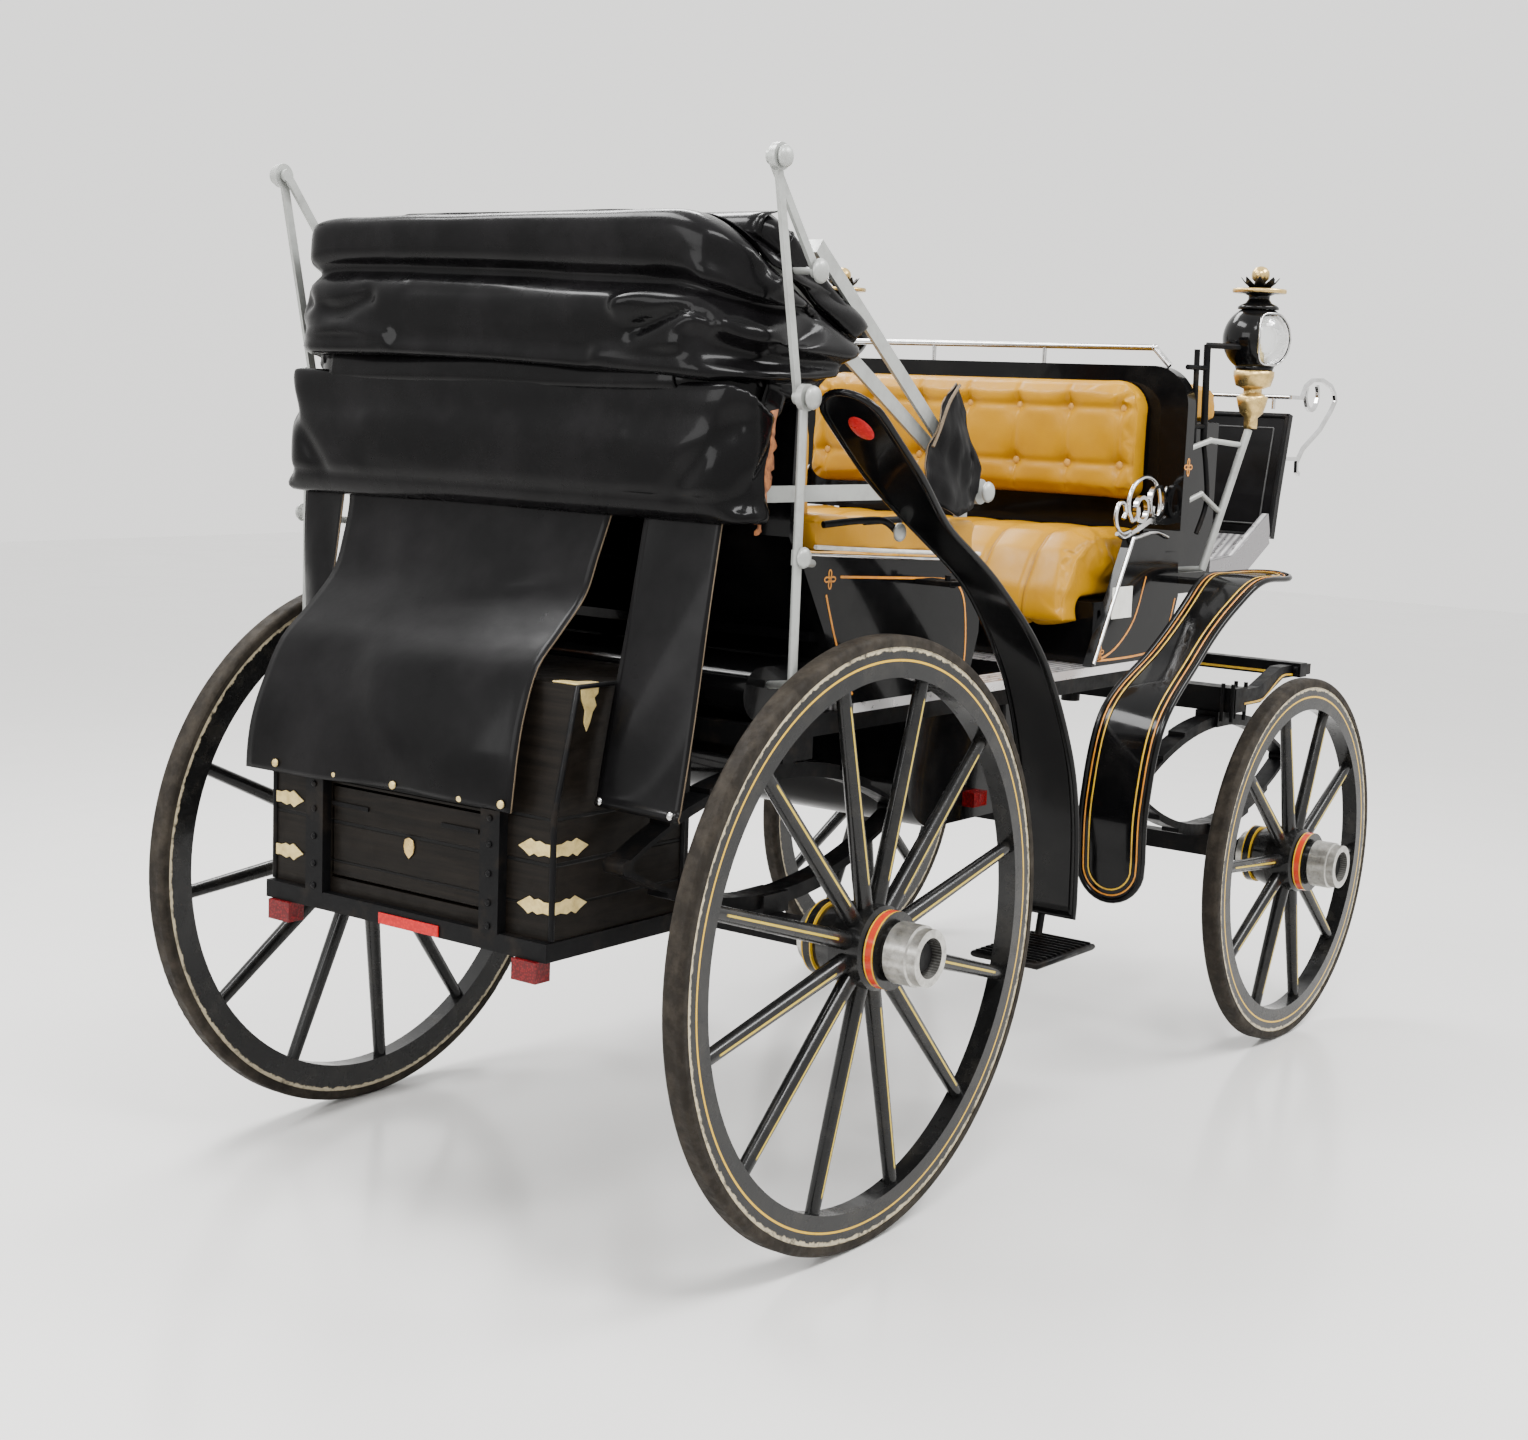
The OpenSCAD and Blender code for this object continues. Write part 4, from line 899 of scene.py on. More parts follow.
def strip_sheet(name, rows, n_u, n_v, bulge):
    """A hanging leather sheet through rows of two ends each, with a raw edge all round."""
    rows = [[a.lerp(b, k / n_u) for k in range(n_u + 1)] for a, b in rows]
    grid = [smooth_path([row[k] for row in rows], n_v) for k in range(n_u + 1)]
    cols, nv = len(grid), len(grid[0])
    verts = [bulge(grid[c][v], c / (cols - 1), v / (nv - 1)) for v in range(nv) for c in range(cols)]
    faces = [(v * cols + c, v * cols + c + 1, (v + 1) * cols + c + 1, (v + 1) * cols + c)
             for v in range(nv - 1) for c in range(cols - 1)]
    o = thicken(new_mesh(name, verts, faces, "curtain", "raw_edge"), 0.0035, 0.0, 1)
    return piece(o, "curtain", BODY, "rear_curtain")


def flap():
    """The wide middle part of the curtain, over the trunk."""
    path = [(-292, 1304), (-296, 1270), (-313, 1215), (-340, 1150), (-400, 1090),
            (-462, 1034), (-500, 960), (-522, 900), (-532, 850), (-536, 801)]
    rows = []
    for i, (x, z) in enumerate(path):
        t = i / (len(path) - 1)
        y0 = -268 + 28 * math.sin(math.pi * min(1, t * 1.2)) * 0.6
        y1 = 383 - 10 * math.sin(math.pi * t)
        rows.append((Vector(xyz(x, y0, z)), Vector(xyz(x, y1, z))))

    def bulge(p, u, v):
        w = math.sin(math.pi * v)
        d = 0.005 * math.sin(14 * u - 5 * v) * v
        d += w * (0.007 * math.sin(9 * u + 3 * v) - 0.014 * math.sin(math.pi * u))
        d -= 0.016 * bell(v - 0.34 - 0.22 * (u - 0.5), 0.05) * math.sin(math.pi * min(1, u * 1.1))
        d += 0.010 * bell(v - 0.47 - 0.30 * (u - 0.4), 0.04) * math.sin(math.pi * u)
        d -= 0.012 * bell(u - 0.85 + 0.5 * v, 0.07) * w
        dz = 0.006 * math.sin(5 * u) * v ** 3
        lift = 0.5 * min(1.0, max(0.0, (0.9 - v) / 0.3))
        return Vector((p.x + min(d, 0.004) * 0.8, p.y + 0.004 * math.sin(6 * v + 2 * u), p.z + d * lift + dz))

    o = strip_sheet("curtain_flap", rows, 40, 4, bulge)


def side_strip(name, top, low, stations, amp):
    """A narrow strip that hangs from two top corners to two low corners, in millimetres."""
    def bulge(p, u, v):
        d = amp * math.sin(math.pi * v) * math.sin(7 * v + 4 * u) - 0.010 * bell(v - 0.93, 0.03)
        return Vector((p.x + d, p.y + 0.5 * d, p.z))

    ends = [(Vector(xyz(*a)), Vector(xyz(*b))) for a, b in zip(top, low)]
    rows = [[a.lerp(b, t) for a, b in ends] for t in stations]
    o = strip_sheet(name, rows, 14, 8, bulge)


flap()
side_strip("curtain_right_strip", [(-290, -338, 1304), (-286, -500, 1304)],
           [(-418, -354, 812), (-413, -530, 806)],
           (0, 0.25, 0.5, 0.75, 0.93, 1.0), 0.006)
side_strip("curtain_left_strip", [(-290, 400, 1304), (-280, 518, 1304)], [(-398, 386, 802), (-345, 444, 802)],
           (0, 0.3, 0.6, 0.85, 1.0), 0.012)


def pivot_cover(s, tag):
    """Crumpled leather cover over the hood pivot."""
    outline = [(328, 1538), (372, 1485), (392, 1433), (418, 1380), (424, 1335), (402, 1305),
               (345, 1290), (262, 1320), (232, 1380), (246, 1418), (268, 1450), (296, 1500)]
    bm = bmesh.new()
    bm.faces.new([bm.verts.new((x, 0, z)) for x, z in outline])
    bmesh.ops.triangulate(bm, faces=bm.faces)
    bmesh.ops.subdivide_edges(bm, edges=bm.edges, cuts=9, use_grid_fill=True)
    me = bpy.data.meshes.new("pivot_cover_" + tag)
    bm.to_mesh(me)
    bm.free()
    o = link(bpy.data.objects.new("pivot_cover_" + tag, me))
    co = coords(o) * 0.001
    co = co + np.array([REAR_AXLE_X + 0.030, 0, 0])
    ridge = np.abs(((co[:, 2] * 9 + co[:, 0] * 5 + 0.15 * wave(co, 33, 25)) % 1.0) - 0.5)
    out = 0.531 + 0.016 * ridge + 0.009 * wave(co, 31, 30) + 0.004 * wave(co, 32, 90)
    co[:, 1] = s * np.clip(out, 0.5265, 0.556)
    co[:, 0] += 0.004 * wave(co, 35, 60)
    put_coords(o, co)
    finish_mesh(o.data, "curtain", "raw_edge")
    thicken(o, 0.0035, 0.0, 1)
    piece(o, "curtain", BODY, "pivot_covers")
    edge = sided(s, (360, 541, 1534), (326, 541, 1500), (298, 541, 1450), (278, 541, 1420))
    tube("pivot_cover_edge_" + tag, [smooth_path(edge, 4)], 0.003, "raw_edge")


both_sides(pivot_cover)

# ------------------------------------------------------------------ wings

class Band:
    """A curved band that follows a path in the XZ plane, with round ends and a varying half width."""

    def __init__(self, pts, yc, half, crown, round_start=True, round_end=True):
        pts = smooth_path([Vector((x, 0, z)) for x, z in pts], 10)
        self.p = pts
        self.s = [0.0]
        for a, b in zip(pts[:-1], pts[1:]):
            self.s.append(self.s[-1] + (b - a).length)
        self.L = self.s[-1]
        self.yc, self.half, self.crown = yc, half, crown
        self.rs, self.re = round_start, round_end

    def at(self, s):
        s = min(max(s, 0.0), self.L)
        k = max(i for i in range(len(self.s)) if self.s[i] <= s + 1e-9)
        k = min(k, len(self.p) - 2)
        t = (s - self.s[k]) / (self.s[k + 1] - self.s[k])
        d0 = (self.p[min(k + 1, len(self.p) - 1)] - self.p[max(k - 1, 0)]).normalized()
        d1 = (self.p[min(k + 2, len(self.p) - 1)] - self.p[k]).normalized()
        d = d0.lerp(d1, t).normalized()
        return self.p[k].lerp(self.p[k + 1], t), Vector((-d.z, 0, d.x))

    def width(self, s):
        h = self.half(s / self.L)
        if self.rs:
            r = self.half(0.0)
            if s < r:
                h = min(h, math.sqrt(max(0.0, r * r - (r - s) ** 2)))
        if self.re:
            r = self.half(1.0)
            if self.L - s < r:
                h = min(h, math.sqrt(max(0.0, r * r - (r - (self.L - s)) ** 2)))
        return h

    def point(self, s, w, h=0.0, side=1):
        q, n = self.at(s)
        hw = max(self.half(s / self.L), 1.0)
        q = q + n * (h + self.crown * (1 - min(1.0, (w / hw) ** 2)))
        return Vector(xyz(q.x, side * self.yc + w, q.z))

    def stations(self, n=60):
        out = set(self.L * k / n for k in range(n + 1))
        for r, base, sg, on in ((self.half(0.0), 0.0, 1, self.rs), (self.half(1.0), self.L, -1, self.re)):
            if on:
                out |= set(base + sg * r * (1 - math.cos(math.pi / 2 * k / 8)) for k in range(9))
        out = sorted(out)
        return [s for i, s in enumerate(out) if i == 0 or s - out[i - 1] > 0.4]

    def mesh(self, name, t, kind, side, across=10):
        st = self.stations()
        verts, faces = [], []
        for h in (t / 2, -t / 2):
            for s in st:
                w = max(self.width(s), 0.3)
                for k in range(across + 1):
                    verts.append(self.point(s, w * (2 * k / across - 1), h, side))
        c, n = across + 1, len(st)
        for i in range(n - 1):
            for k in range(across):
                a = i * c + k
                faces.append((a, a + 1, a + c + 1, a + c))
                b = a + n * c
                faces.append((b, b + c, b + c + 1, b + 1))
            for k in (0, across):
                a, b = i * c + k, i * c + k + n * c
                faces.append((a, a + c, b + c, b) if k == 0 else (a, b, b + c, a + c))
        for i in (0, n - 1):
            for k in range(across):
                a, b = i * c + k, i * c + k + n * c
                faces.append((a, b, b + 1, a + 1) if i == 0 else (a, a + 1, b + 1, b))
        o = new_mesh(name, verts, faces, kind)
        bm = bmesh.new()
        bm.from_mesh(o.data)
        bmesh.ops.recalc_face_normals(bm, faces=bm.faces)
        bm.to_mesh(o.data)
        bm.free()
        return o

    def outline(self, inset, side, h):
        """Closed line of points at an inset from the edge."""
        first = self.half(0.0) if self.rs else 0.0
        last = self.L - self.half(1.0) if self.re else self.L
        st = [s for s in self.stations() if first <= s <= last]
        right = [self.point(s, self.half(s / self.L) - inset, h, side) for s in st]
        left = [self.point(s, -(self.half(s / self.L) - inset), h, side) for s in st]
        top, bot = [], []
        turn = [math.pi * k / 16 for k in range(1, 16)]
        if self.re:
            r = self.half(1.0)
            top = [self.point(self.L - r + (r - inset) * math.sin(a), (r - inset) * math.cos(a), h, side)
                   for a in turn]
        if self.rs:
            r = self.half(0.0)
            bot = [self.point(r - (r - inset) * math.sin(a), -(r - inset) * math.cos(a), h, side)
                   for a in turn]
        return right + top + left[::-1] + bot


def flat_line(name, band, inset, s, h, w, kind):
    """A flat painted line w wide that follows a band's edge."""
    a, c = band.outline(inset - w / 2, s, h), band.outline(inset + w / 2, s, h)
    n = len(a)
    faces = [(i, (i + 1) % n, n + (i + 1) % n, n + i) for i in range(n)]
    piece(thicken(new_mesh(name, a + c, faces, kind), 0.0012), kind)


def front_wing(s, tag):
    path = [(905, 486), (904, 560), (905, 700), (965, 870), (1140, 985),
            (1290, 1080), (1400, 1134), (1525, 1137), (1599, 1140)]

    def half(t):
        return 75 - 16 * math.sin(math.pi * (t - 0.35) / 0.55) ** 2 if 0.35 <= t <= 0.9 else 75

    band = Band(path, 630, half, 3.0)
    piece(band.mesh("front_wing_" + tag, 7, "lacquer", s), "lacquer", BODY, "front_fenders")
    tube("front_wing_rim_" + tag, [band.outline(1.5, s, 1.5)], 0.0065, "lacquer", BODY, True)
    for k, (inset, kind) in enumerate(((13, "orange"), (25, "gold"))):
        for h, face in ((5.2, "top"), (-3.6, "under")):
            flat_line("wing_line_%s_%s_%d" % (tag, face, k), band, inset, s, h, 3.2, kind)
    slab("wing_bracket_" + tag, xyz(1440, s * 500, 1122), (0.030, 0.080, 0.006), "iron", BODY, 0.002)


def rear_wing(s, tag):
    path = [(-152, 1508), (-20, 1402), (130, 1290), (330, 1170),
            (490, 1020), (585, 860), (635, 700), (645, 502)]

    def half(t):
        keys = [(0.0, 60), (0.14, 61), (0.30, 40), (0.42, 40), (0.60, 52), (0.8, 60), (1.0, 62)]
        for (a, x), (c, y) in zip(keys[:-1], keys[1:]):
            if t <= c:
                u = (t - a) / (c - a)
                u = u * u * (3 - 2 * u)
                return x + (y - x) * u
        return keys[-1][1]

    band = Band(path, 628, half, 3.0, True, False)
    piece(band.mesh("rear_wing_" + tag, 7, "lacquer", s), "lacquer", BODY, "rear_fenders")
    tube("rear_wing_rim_" + tag, [band.outline(1.0, s, 1.5)], 0.0062, "lacquer", BODY, True)
    n = band.at(95)[1]
    centre = band.point(88, 0, -2.0, s)
    profile = [(0.031, -0.003), (0.031, 0.001), (0.028, 0.0028), (0.015, 0.0040), (0.001, 0.0044)]
    oval = lathe("wing_reflector_" + tag, profile, centre, (-n.x, 0, -n.z), "red_bright", 24)
    for v in oval.data.vertices:
        v.co.y = centre.y + (v.co.y - centre.y) * 0.74
    slab("rear_wing_bracket_" + tag, xyz(330, s * 540, 1169), (0.030, 0.040, 0.005), "iron", BODY, 0.002)
    bolts = [sided(s, (322, 560, 1172), (322, 560, 1184)), sided(s, (340, 560, 1160), (340, 560, 1176))]
    tube("wing_bolts_" + tag, bolts, 0.006, "iron")


both_sides(front_wing)
both_sides(rear_wing)

# ------------------------------------------------------------------ hood joints

def fold_plan(side, corner, back, front_x):
    """Plan line of the leather from the right wing round the back to the left wing."""
    pts = [(front_x, -side), (back + corner, -side)]
    for k in range(1, 8):
        a = math.pi / 2 * k / 8
        pts.append((back + corner - corner * math.sin(a), -side + corner - corner * math.cos(a)))
    pts.append((back, -side + corner))
    left = [(x, -y) for x, y in reversed(pts)]
    return pts + [(back, 0)] + left


def gusset(name, angle, plan, reach):
    """Folded leather that bridges two bands of the hood."""
    t = math.radians(angle)
    nx, nz = math.sin(t), math.cos(t)
    dense = smooth_path([Vector((x, y, 0)) for x, y in plan], 4)
    rows = 12
    verts, faces = [], []
    for i, p in enumerate(dense):
        a = dense[max(i - 1, 0)]
        c = dense[min(i + 1, len(dense) - 1)]
        d = (c - a).normalized()
        out = Vector((d.y, -d.x, 0))
        if out.dot(Vector((p.x - 100, p.y, 0))) < 0:
            out = -out
        line_z = 1335 + (480 - p.x) * math.tan(t)
        for k in range(rows + 1):
            u = 2 * k / rows - 1
            dist = u * reach
            bulge = -30 * u ** 4 + 3.0 * math.sin(p.y * 0.013 + 2 * u) + 2.0 * math.sin(p.x * 0.03)
            q = Vector((p.x + out.x * bulge + nx * dist, p.y + out.y * bulge, line_z + nz * dist))
            verts.append(xyz(q.x, q.y, q.z))
    n = rows + 1
    for i in range(len(dense) - 1):
        for k in range(rows):
            faces.append((i * n + k, i * n + k + 1, (i + 1) * n + k + 1, (i + 1) * n + k))
    o = thicken(new_mesh(name, verts, faces, "hood"), 0.003)
    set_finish(o, SLOTS["hood"])
    c = Vector(xyz(-300, 0, 1335 + 780 * math.tan(t)))
    d = Vector((nx, 0, nz)) * (reach / 1000 * 0.9)
    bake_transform(o)
    a = front_area(o)
    w = sum((q - p).length for p, q in zip(dense[:-1], dense[1:])) / 1000


gusset("hood_gusset_lower", 13.6, fold_plan(527, 150, -318, -222), 36)
gusset("hood_gusset_upper", 32.8, fold_plan(522, 60, -208, 50), 30)

# ------------------------------------------------------------------ painted lines and ornaments


def coach_line(name, pts, y, kind="orange", w=4.5, body=BODY):
    """A thin painted line on a panel that stands at y, through points (x, z)."""
    s = 1 if y > 0 else -1
    path = smooth_path([Vector((x, 0, z)) for x, z in pts], 5)
    verts, faces = [], []
    for i, p in enumerate(path):
        d = (path[min(i + 1, len(path) - 1)] - path[max(i - 1, 0)]).normalized()
        n = Vector((-d.z, 0, d.x)) * (w / 2)
        for yy in (y, y + s * 0.6):
            for k in (-1, 1):
                q = p + n * k
                verts.append(xyz(q.x, yy, q.z))
    for i in range(len(path) - 1):
        a, b = i * 4, i * 4 + 4
        faces += [(a + 2, a + 3, b + 3, b + 2), (a, b, b + 1, a + 1), (a, a + 2, b + 2, b),
                  (a + 1, b + 1, b + 3, a + 3)]
    e = (len(path) - 1) * 4
    faces += [(0, 1, 3, 2), (e, e + 2, e + 3, e + 1)]
    return piece(new_mesh(name, verts, faces, kind, smooth=False), kind, body)


def ornament(name, cx, cz, y, r):
    """Four painted leaves round a centre."""
    parts = []
    for k in range(4):
        c, q = math.cos(k * math.pi / 2), math.sin(k * math.pi / 2)
        leaf = []
        for i in range(14):
            t = 2 * math.pi * i / 14
            along, across = r * (0.95 - 0.72 * math.cos(t)), 0.42 * r * math.sin(t)
            leaf.append((cx + along * c - across * q, cz + along * q + across * c))
        parts.append(coach_line("%s_%d" % (name, k), leaf + leaf[:1], y, "orange", 2.8))
    join(name, parts)


def panels(s, tag):
    y = s * 500.1
    lines = {
        "quarter_line_": [(58, 1187), (200, 1180), (400, 1169), (450, 1158), (478, 1128), (490, 1075),
                          (492, 1018), (484, 975)],
        "quarter_edge_line_": [(16, 1157), (33, 1115), (52, 1072), (84, 1010), (112, 972)],
        "front_panel_line_": [(1022, 966), (1109, 988), (1190, 1046), (1236, 1140)],
        "front_panel_low_line_": [(1028, 968), (1110, 966), (1220, 967), (1300, 975), (1352, 1010),
                                  (1384, 1085)],
    }
    for name, pts in lines.items():
        coach_line(name + tag, pts, y)
    frame_y = 1000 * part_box("front_seat_frame")[1].y + 0.1
    ornament("quarter_ornament_" + tag, 26, 1184, y, 10)
    ornament("front_panel_ornament_" + tag, 1045, 985, y, 9)
    ornament("seat_frame_ornament_" + tag, 1347, 1380, s * frame_y, 11)
    # bright strips along the edges of the panels
    strips = {
        "front_panel_edge_": (0.0042, 4, [(1014, 962), (1060, 1046), (1110, 1136), (1150, 1207),
                                          (1160, 1226)]),
        "front_panel_crest_": (0.0042, 4, [(1160, 1226), (1185, 1228), (1230, 1236), (1275, 1236),
                                           (1322, 1224)]),
        "quarter_top_edge_": (0.0036, 5, [(-70, 1232), (200, 1217), (448, 1204), (498, 1190), (528, 1160),
                                          (538, 1120)]),
    }
    for name, (r, n, pts) in strips.items():
        tube(name + tag, [smooth_path([xyz(x, s * 503, z) for x, z in pts], n)], r, "steel")


both_sides(panels)


slab("blank_panel_label", xyz(1130, -500.6, 1088), (0.045, 0.0006, 0.034), "label")

# ------------------------------------------------------------------ lamps


LAMP_WINDOWS = (109, 15)    # azimuths of the left lamp's two glass windows
LAMP_TURNED = {
    "lamp_base_": ("brass", 32, [
        (0.001, -0.2005), (0.0148, -0.2005), (0.0152, -0.190), (0.0150, -0.176), (0.026, -0.166),
        (0.031, -0.150), (0.0355, -0.131), (0.030, -0.126), (0.021, -0.1205), (0.0205, -0.112),
        (0.030, -0.108), (0.039, -0.1045), (0.0455, -0.083), (0.0455, -0.0715), (0.040, -0.070)]),
    "lamp_crown_edge_": ("brass", 40, [
        (0.052, 0.1025), (0.0592, 0.1025), (0.0605, 0.107), (0.0592, 0.1112), (0.052, 0.1112)]),
    "lamp_finial_": ("brass", 28, [
        (0.001, 0.118), (0.012, 0.118), (0.010, 0.126), (0.0125, 0.1275), (0.019, 0.134),
        (0.0203, 0.142), (0.019, 0.150), (0.0125, 0.158), (0.006, 0.1612), (0.001, 0.162)]),
    "lamp_burner_": ("cream_brass", 20, [
        (0.001, -0.0605), (0.020, -0.0605), (0.020, -0.030), (0.013, -0.026), (0.011, -0.010),
        (0.008, -0.008), (0.006, 0.030), (0.003, 0.052), (0.0005, 0.060)]),
    "lamp_crown_": ("lacquer", 40, [
        (0.001, 0.0655), (0.046, 0.0655), (0.046, 0.071), (0.040, 0.076), (0.030, 0.080),
        (0.024, 0.088), (0.024, 0.096), (0.036, 0.101), (0.054, 0.1035), (0.055, 0.109),
        (0.030, 0.1125), (0.018, 0.118), (0.012, 0.127), (0.001, 0.128)]),
    "lamp_floor_": ("lacquer", 32, [
        (0.001, -0.073), (0.040, -0.073), (0.044, -0.062), (0.040, -0.060), (0.001, -0.060)]),
}


def on_globe(c, r, az, el):
    """Point at azimuth az and elevation el, in degrees, on a globe round c."""
    az, el = math.radians(az), math.radians(el)
    return c + r * Vector((math.cos(el) * math.cos(az), math.cos(el) * math.sin(az), math.sin(el)))


def lamp_globe(c, s, tag):
    """Black globe with two windows, each 82 degrees wide and 98 high, and their bright rims."""
    nu, nv, low, span = 64, 30, -58, 118
    half_az, half_el = 41, 49
    verts = [on_globe(c, 0.0752, 360 * k / nu, low + span * i / nv) for i in range(nv + 1) for k in range(nu)]
    faces = []
    for i in range(nv):
        el = low + span * (i + 0.5) / nv
        for k in range(nu):
            az = 360 * (k + 0.5) / nu
            turns = [abs((az - s * mid + 180) % 360 - 180) for mid in LAMP_WINDOWS]
            if all((da / half_az) ** 4 + (el / half_el) ** 4 >= 1 for da in turns):
                k2 = (k + 1) % nu
                faces.append((i * nu + k, i * nu + k2, (i + 1) * nu + k2, (i + 1) * nu + k))
    globe = thicken(new_mesh("lamp_globe_" + tag, verts, faces, "lacquer"), 0.003, -1)
    piece(globe, "lacquer", BODY, "lamps")
    rims = []
    for mid in LAMP_WINDOWS:
        rim = []
        for k in range(48):
            cb, sb = math.cos(2 * math.pi * k / 48), math.sin(2 * math.pi * k / 48)
            az = s * mid + half_az * math.copysign(abs(cb) ** 0.5, cb)
            rim.append(on_globe(c, 0.0758, az, half_el * math.copysign(abs(sb) ** 0.5, sb)))
        rims.append(rim)
    tube("lamp_rims_" + tag, rims, 0.0022, "steel", BODY, True, 2)


def lamp_leaves(c, tag):
    """Eight cast leaves round the crown."""
    leaves = []
    for k in range(8):
        a = 2 * math.pi * (k + 0.5) / 8
        d, t = Vector((math.cos(a), math.sin(a), 0)), Vector((-math.sin(a), math.cos(a), 0))
        verts = []
        for r, h, w in ((0.010, 0.112, 0.004), (0.022, 0.117, 0.011), (0.034, 0.1265, 0.010),
                        (0.043, 0.136, 0.001)):
            for q in (-w, 0, w):
                verts.append(c + d * r + t * q + Vector((0, 0, h - abs(q) * 0.25)))
        faces = [(i * 3 + j, i * 3 + j + 1, i * 3 + j + 4, i * 3 + j + 3) for i in range(3) for j in range(2)]
        leaves.append(piece(thicken(new_mesh("leaf", verts, faces, "iron"), 0.0014, -1), "iron"))
    join("lamp_leaves_" + tag, leaves)


def lamp_bracket(s, tag):
    """Black bracket between the lamp and the seat frame."""
    rods = [((1440, 512, 1652), (1452, 512, 1440), 0.008), ((1405, 505, 1640), (1415, 505, 1425), 0.0065),
            ((1372, 500, 1600), (1440, 512, 1600), 0.006), ((1374, 500, 1470), (1450, 512, 1470), 0.006),
            ((1436, 512, 1650), (1492, 566, 1650), 0.007)]
    parts = [tube("rod", [sided(s, p, q)], r, "iron") for p, q, r in rods]
    bend = sided(s, (1450, 512, 1440), (1460, 518, 1380), (1466, 522, 1300), (1440, 515, 1230))
    parts.append(tube("rod", [smooth_path(bend, 5)], 0.006, "iron"))
    join("lamp_bracket_" + tag, parts)


def lamp(s, tag):
    c = Vector(xyz(1560, s * 573, 1670))
    for name, (kind, n, profile) in LAMP_TURNED.items():
        lathe(name + tag, profile, c, (0, 0, 1), kind, n)
    lamp_globe(c, s, tag)
    lamp_leaves(c, tag)
    lamp_bracket(s, tag)


both_sides(lamp)

# ------------------------------------------------------------------ knobs of the hood irons


def knob(name, x, y, z, s, r, body=BODY):
    profile = [(0.001, 0.0), (r * 0.5, 0.0), (r * 0.52, 0.003), (r * 0.96, 0.0045), (r, 0.0075),
               (r * 0.9, 0.0115), (r * 0.6, 0.0150), (r * 0.25, 0.0166), (0.001, 0.017)]
    lathe(name, profile, xyz(x, s * y, z), (0, s, 0), "grey_iron", 28, body)


def knobs(s, tag):
    lower = 1000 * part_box("landau_lower_irons")[1].y - 1
    upper = 1000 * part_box("landau_upper_irons")[1].y - 1
    knob("knuckle_cap_" + tag, -288, lower, 1877, s, 0.018, "landau_lower_irons")
    knob("upper_cap_" + tag, -155, upper, 1707, s, 0.021, "hood_main_bow")
    knob("post_cap_" + tag, -208, 608, 1500, s, 0.020)
    knob("lower_post_cap_" + tag, -208, 602, 1238, s, 0.018)
    knob("pivot_cap_" + tag, 480, 534, 1335, s, 0.020)
    knob("wing_arm_cap_" + tag, 122, 572, 1270, s, 0.017)
    bend = sided(s, (-30, 520, 1283), (40, 545, 1290), (90, 565, 1290), (122, 572, 1272))
    branch = sided(s, (60, 545, 1288), (200, 560, 1292))
    tube("wing_arm_" + tag, [smooth_path(bend, 5), branch], 0.0065, "iron")
    tube("post_base_" + tag, [sided(s, (-208, 596, 1225), (-208, 596, 1250))], 0.0105, "grey_iron")


both_sides(knobs)

# ------------------------------------------------------------------ scrolls on the front panels


def scrolls(s, tag):
    curls = [
        [(1176, 1262), (1158, 1285), (1157, 1312), (1178, 1340), (1220, 1356), (1262, 1352),
         (1290, 1332), (1303, 1304), (1300, 1280), (1284, 1268), (1270, 1278), (1272, 1292)],
        [(1200, 1292), (1203, 1277), (1192, 1266), (1176, 1262)],
        [(1168, 1240), (1132, 1236), (1108, 1252), (1100, 1278), (1112, 1300), (1134, 1300), (1144, 1282),
         (1134, 1268)],
        [(1290, 1264), (1318, 1262), (1350, 1280), (1362, 1306), (1352, 1330), (1332, 1334), (1320, 1318),
         (1328, 1302)],
        [(1110, 1236), (1150, 1226), (1200, 1246), (1250, 1262), (1290, 1256), (1326, 1262)],
    ]
    paths = [smooth_path([xyz(x, s * 489, z) for x, z in curl], 5) for curl in curls]
    tube("panel_scrolls_" + tag, paths, 0.0048, "steel")


both_sides(scrolls)

# ------------------------------------------------------------------ trunk fittings


def plate(name, pts, kind="cream_brass", body=BODY):
    """A flat brass plate, 3 mm thick, from an outline of 3-D points."""
    o = thicken(new_mesh(name, pts, [tuple(range(len(pts)))], kind, smooth=False), 0.003)
    return piece(bevelled(o, 0.0012), kind, body)


def trunk_plates(s, tag):
    """Two ornate corner plates, each with a wing on the rear face and one on the side, and the lid's plates."""
    wing = [(0, 11), (18, 10), (30, 14), (40, 11), (50, 16), (62, 9), (78, 0),
            (62, -8), (52, -15), (42, -9), (32, -13), (18, -9), (0, -11)]
    for z in (744, 646):
        name = "trunk_plate_%s_%d" % (tag, z)
        rear = plate(name + "_r", [xyz(-506.5, s * (341.0 - u), z + v) for u, v in wing])
        side = plate(name + "_s", [xyz(-505 + u * 1.1, s * 341.4, z + v) for u, v in wing])
        join(name, [rear, side])
    drop = [(0, 0), (52, 0), (50, 14), (40, 20), (46, 34), (36, 44), (30, 60), (20, 76), (12, 60), (14, 40),
            (4, 22)]
    plate("trunk_top_plate_" + tag, [xyz(-451 + u * 0.9, s * 341.4, 1013 - v) for u, v in drop])
    lid = [(-452, 339), (-400, 339), (-402, 322), (-425, 312), (-430, 285), (-452, 280)]
    plate("trunk_lid_plate_" + tag, [xyz(x, s * y, 1016.4) for x, y in lid])


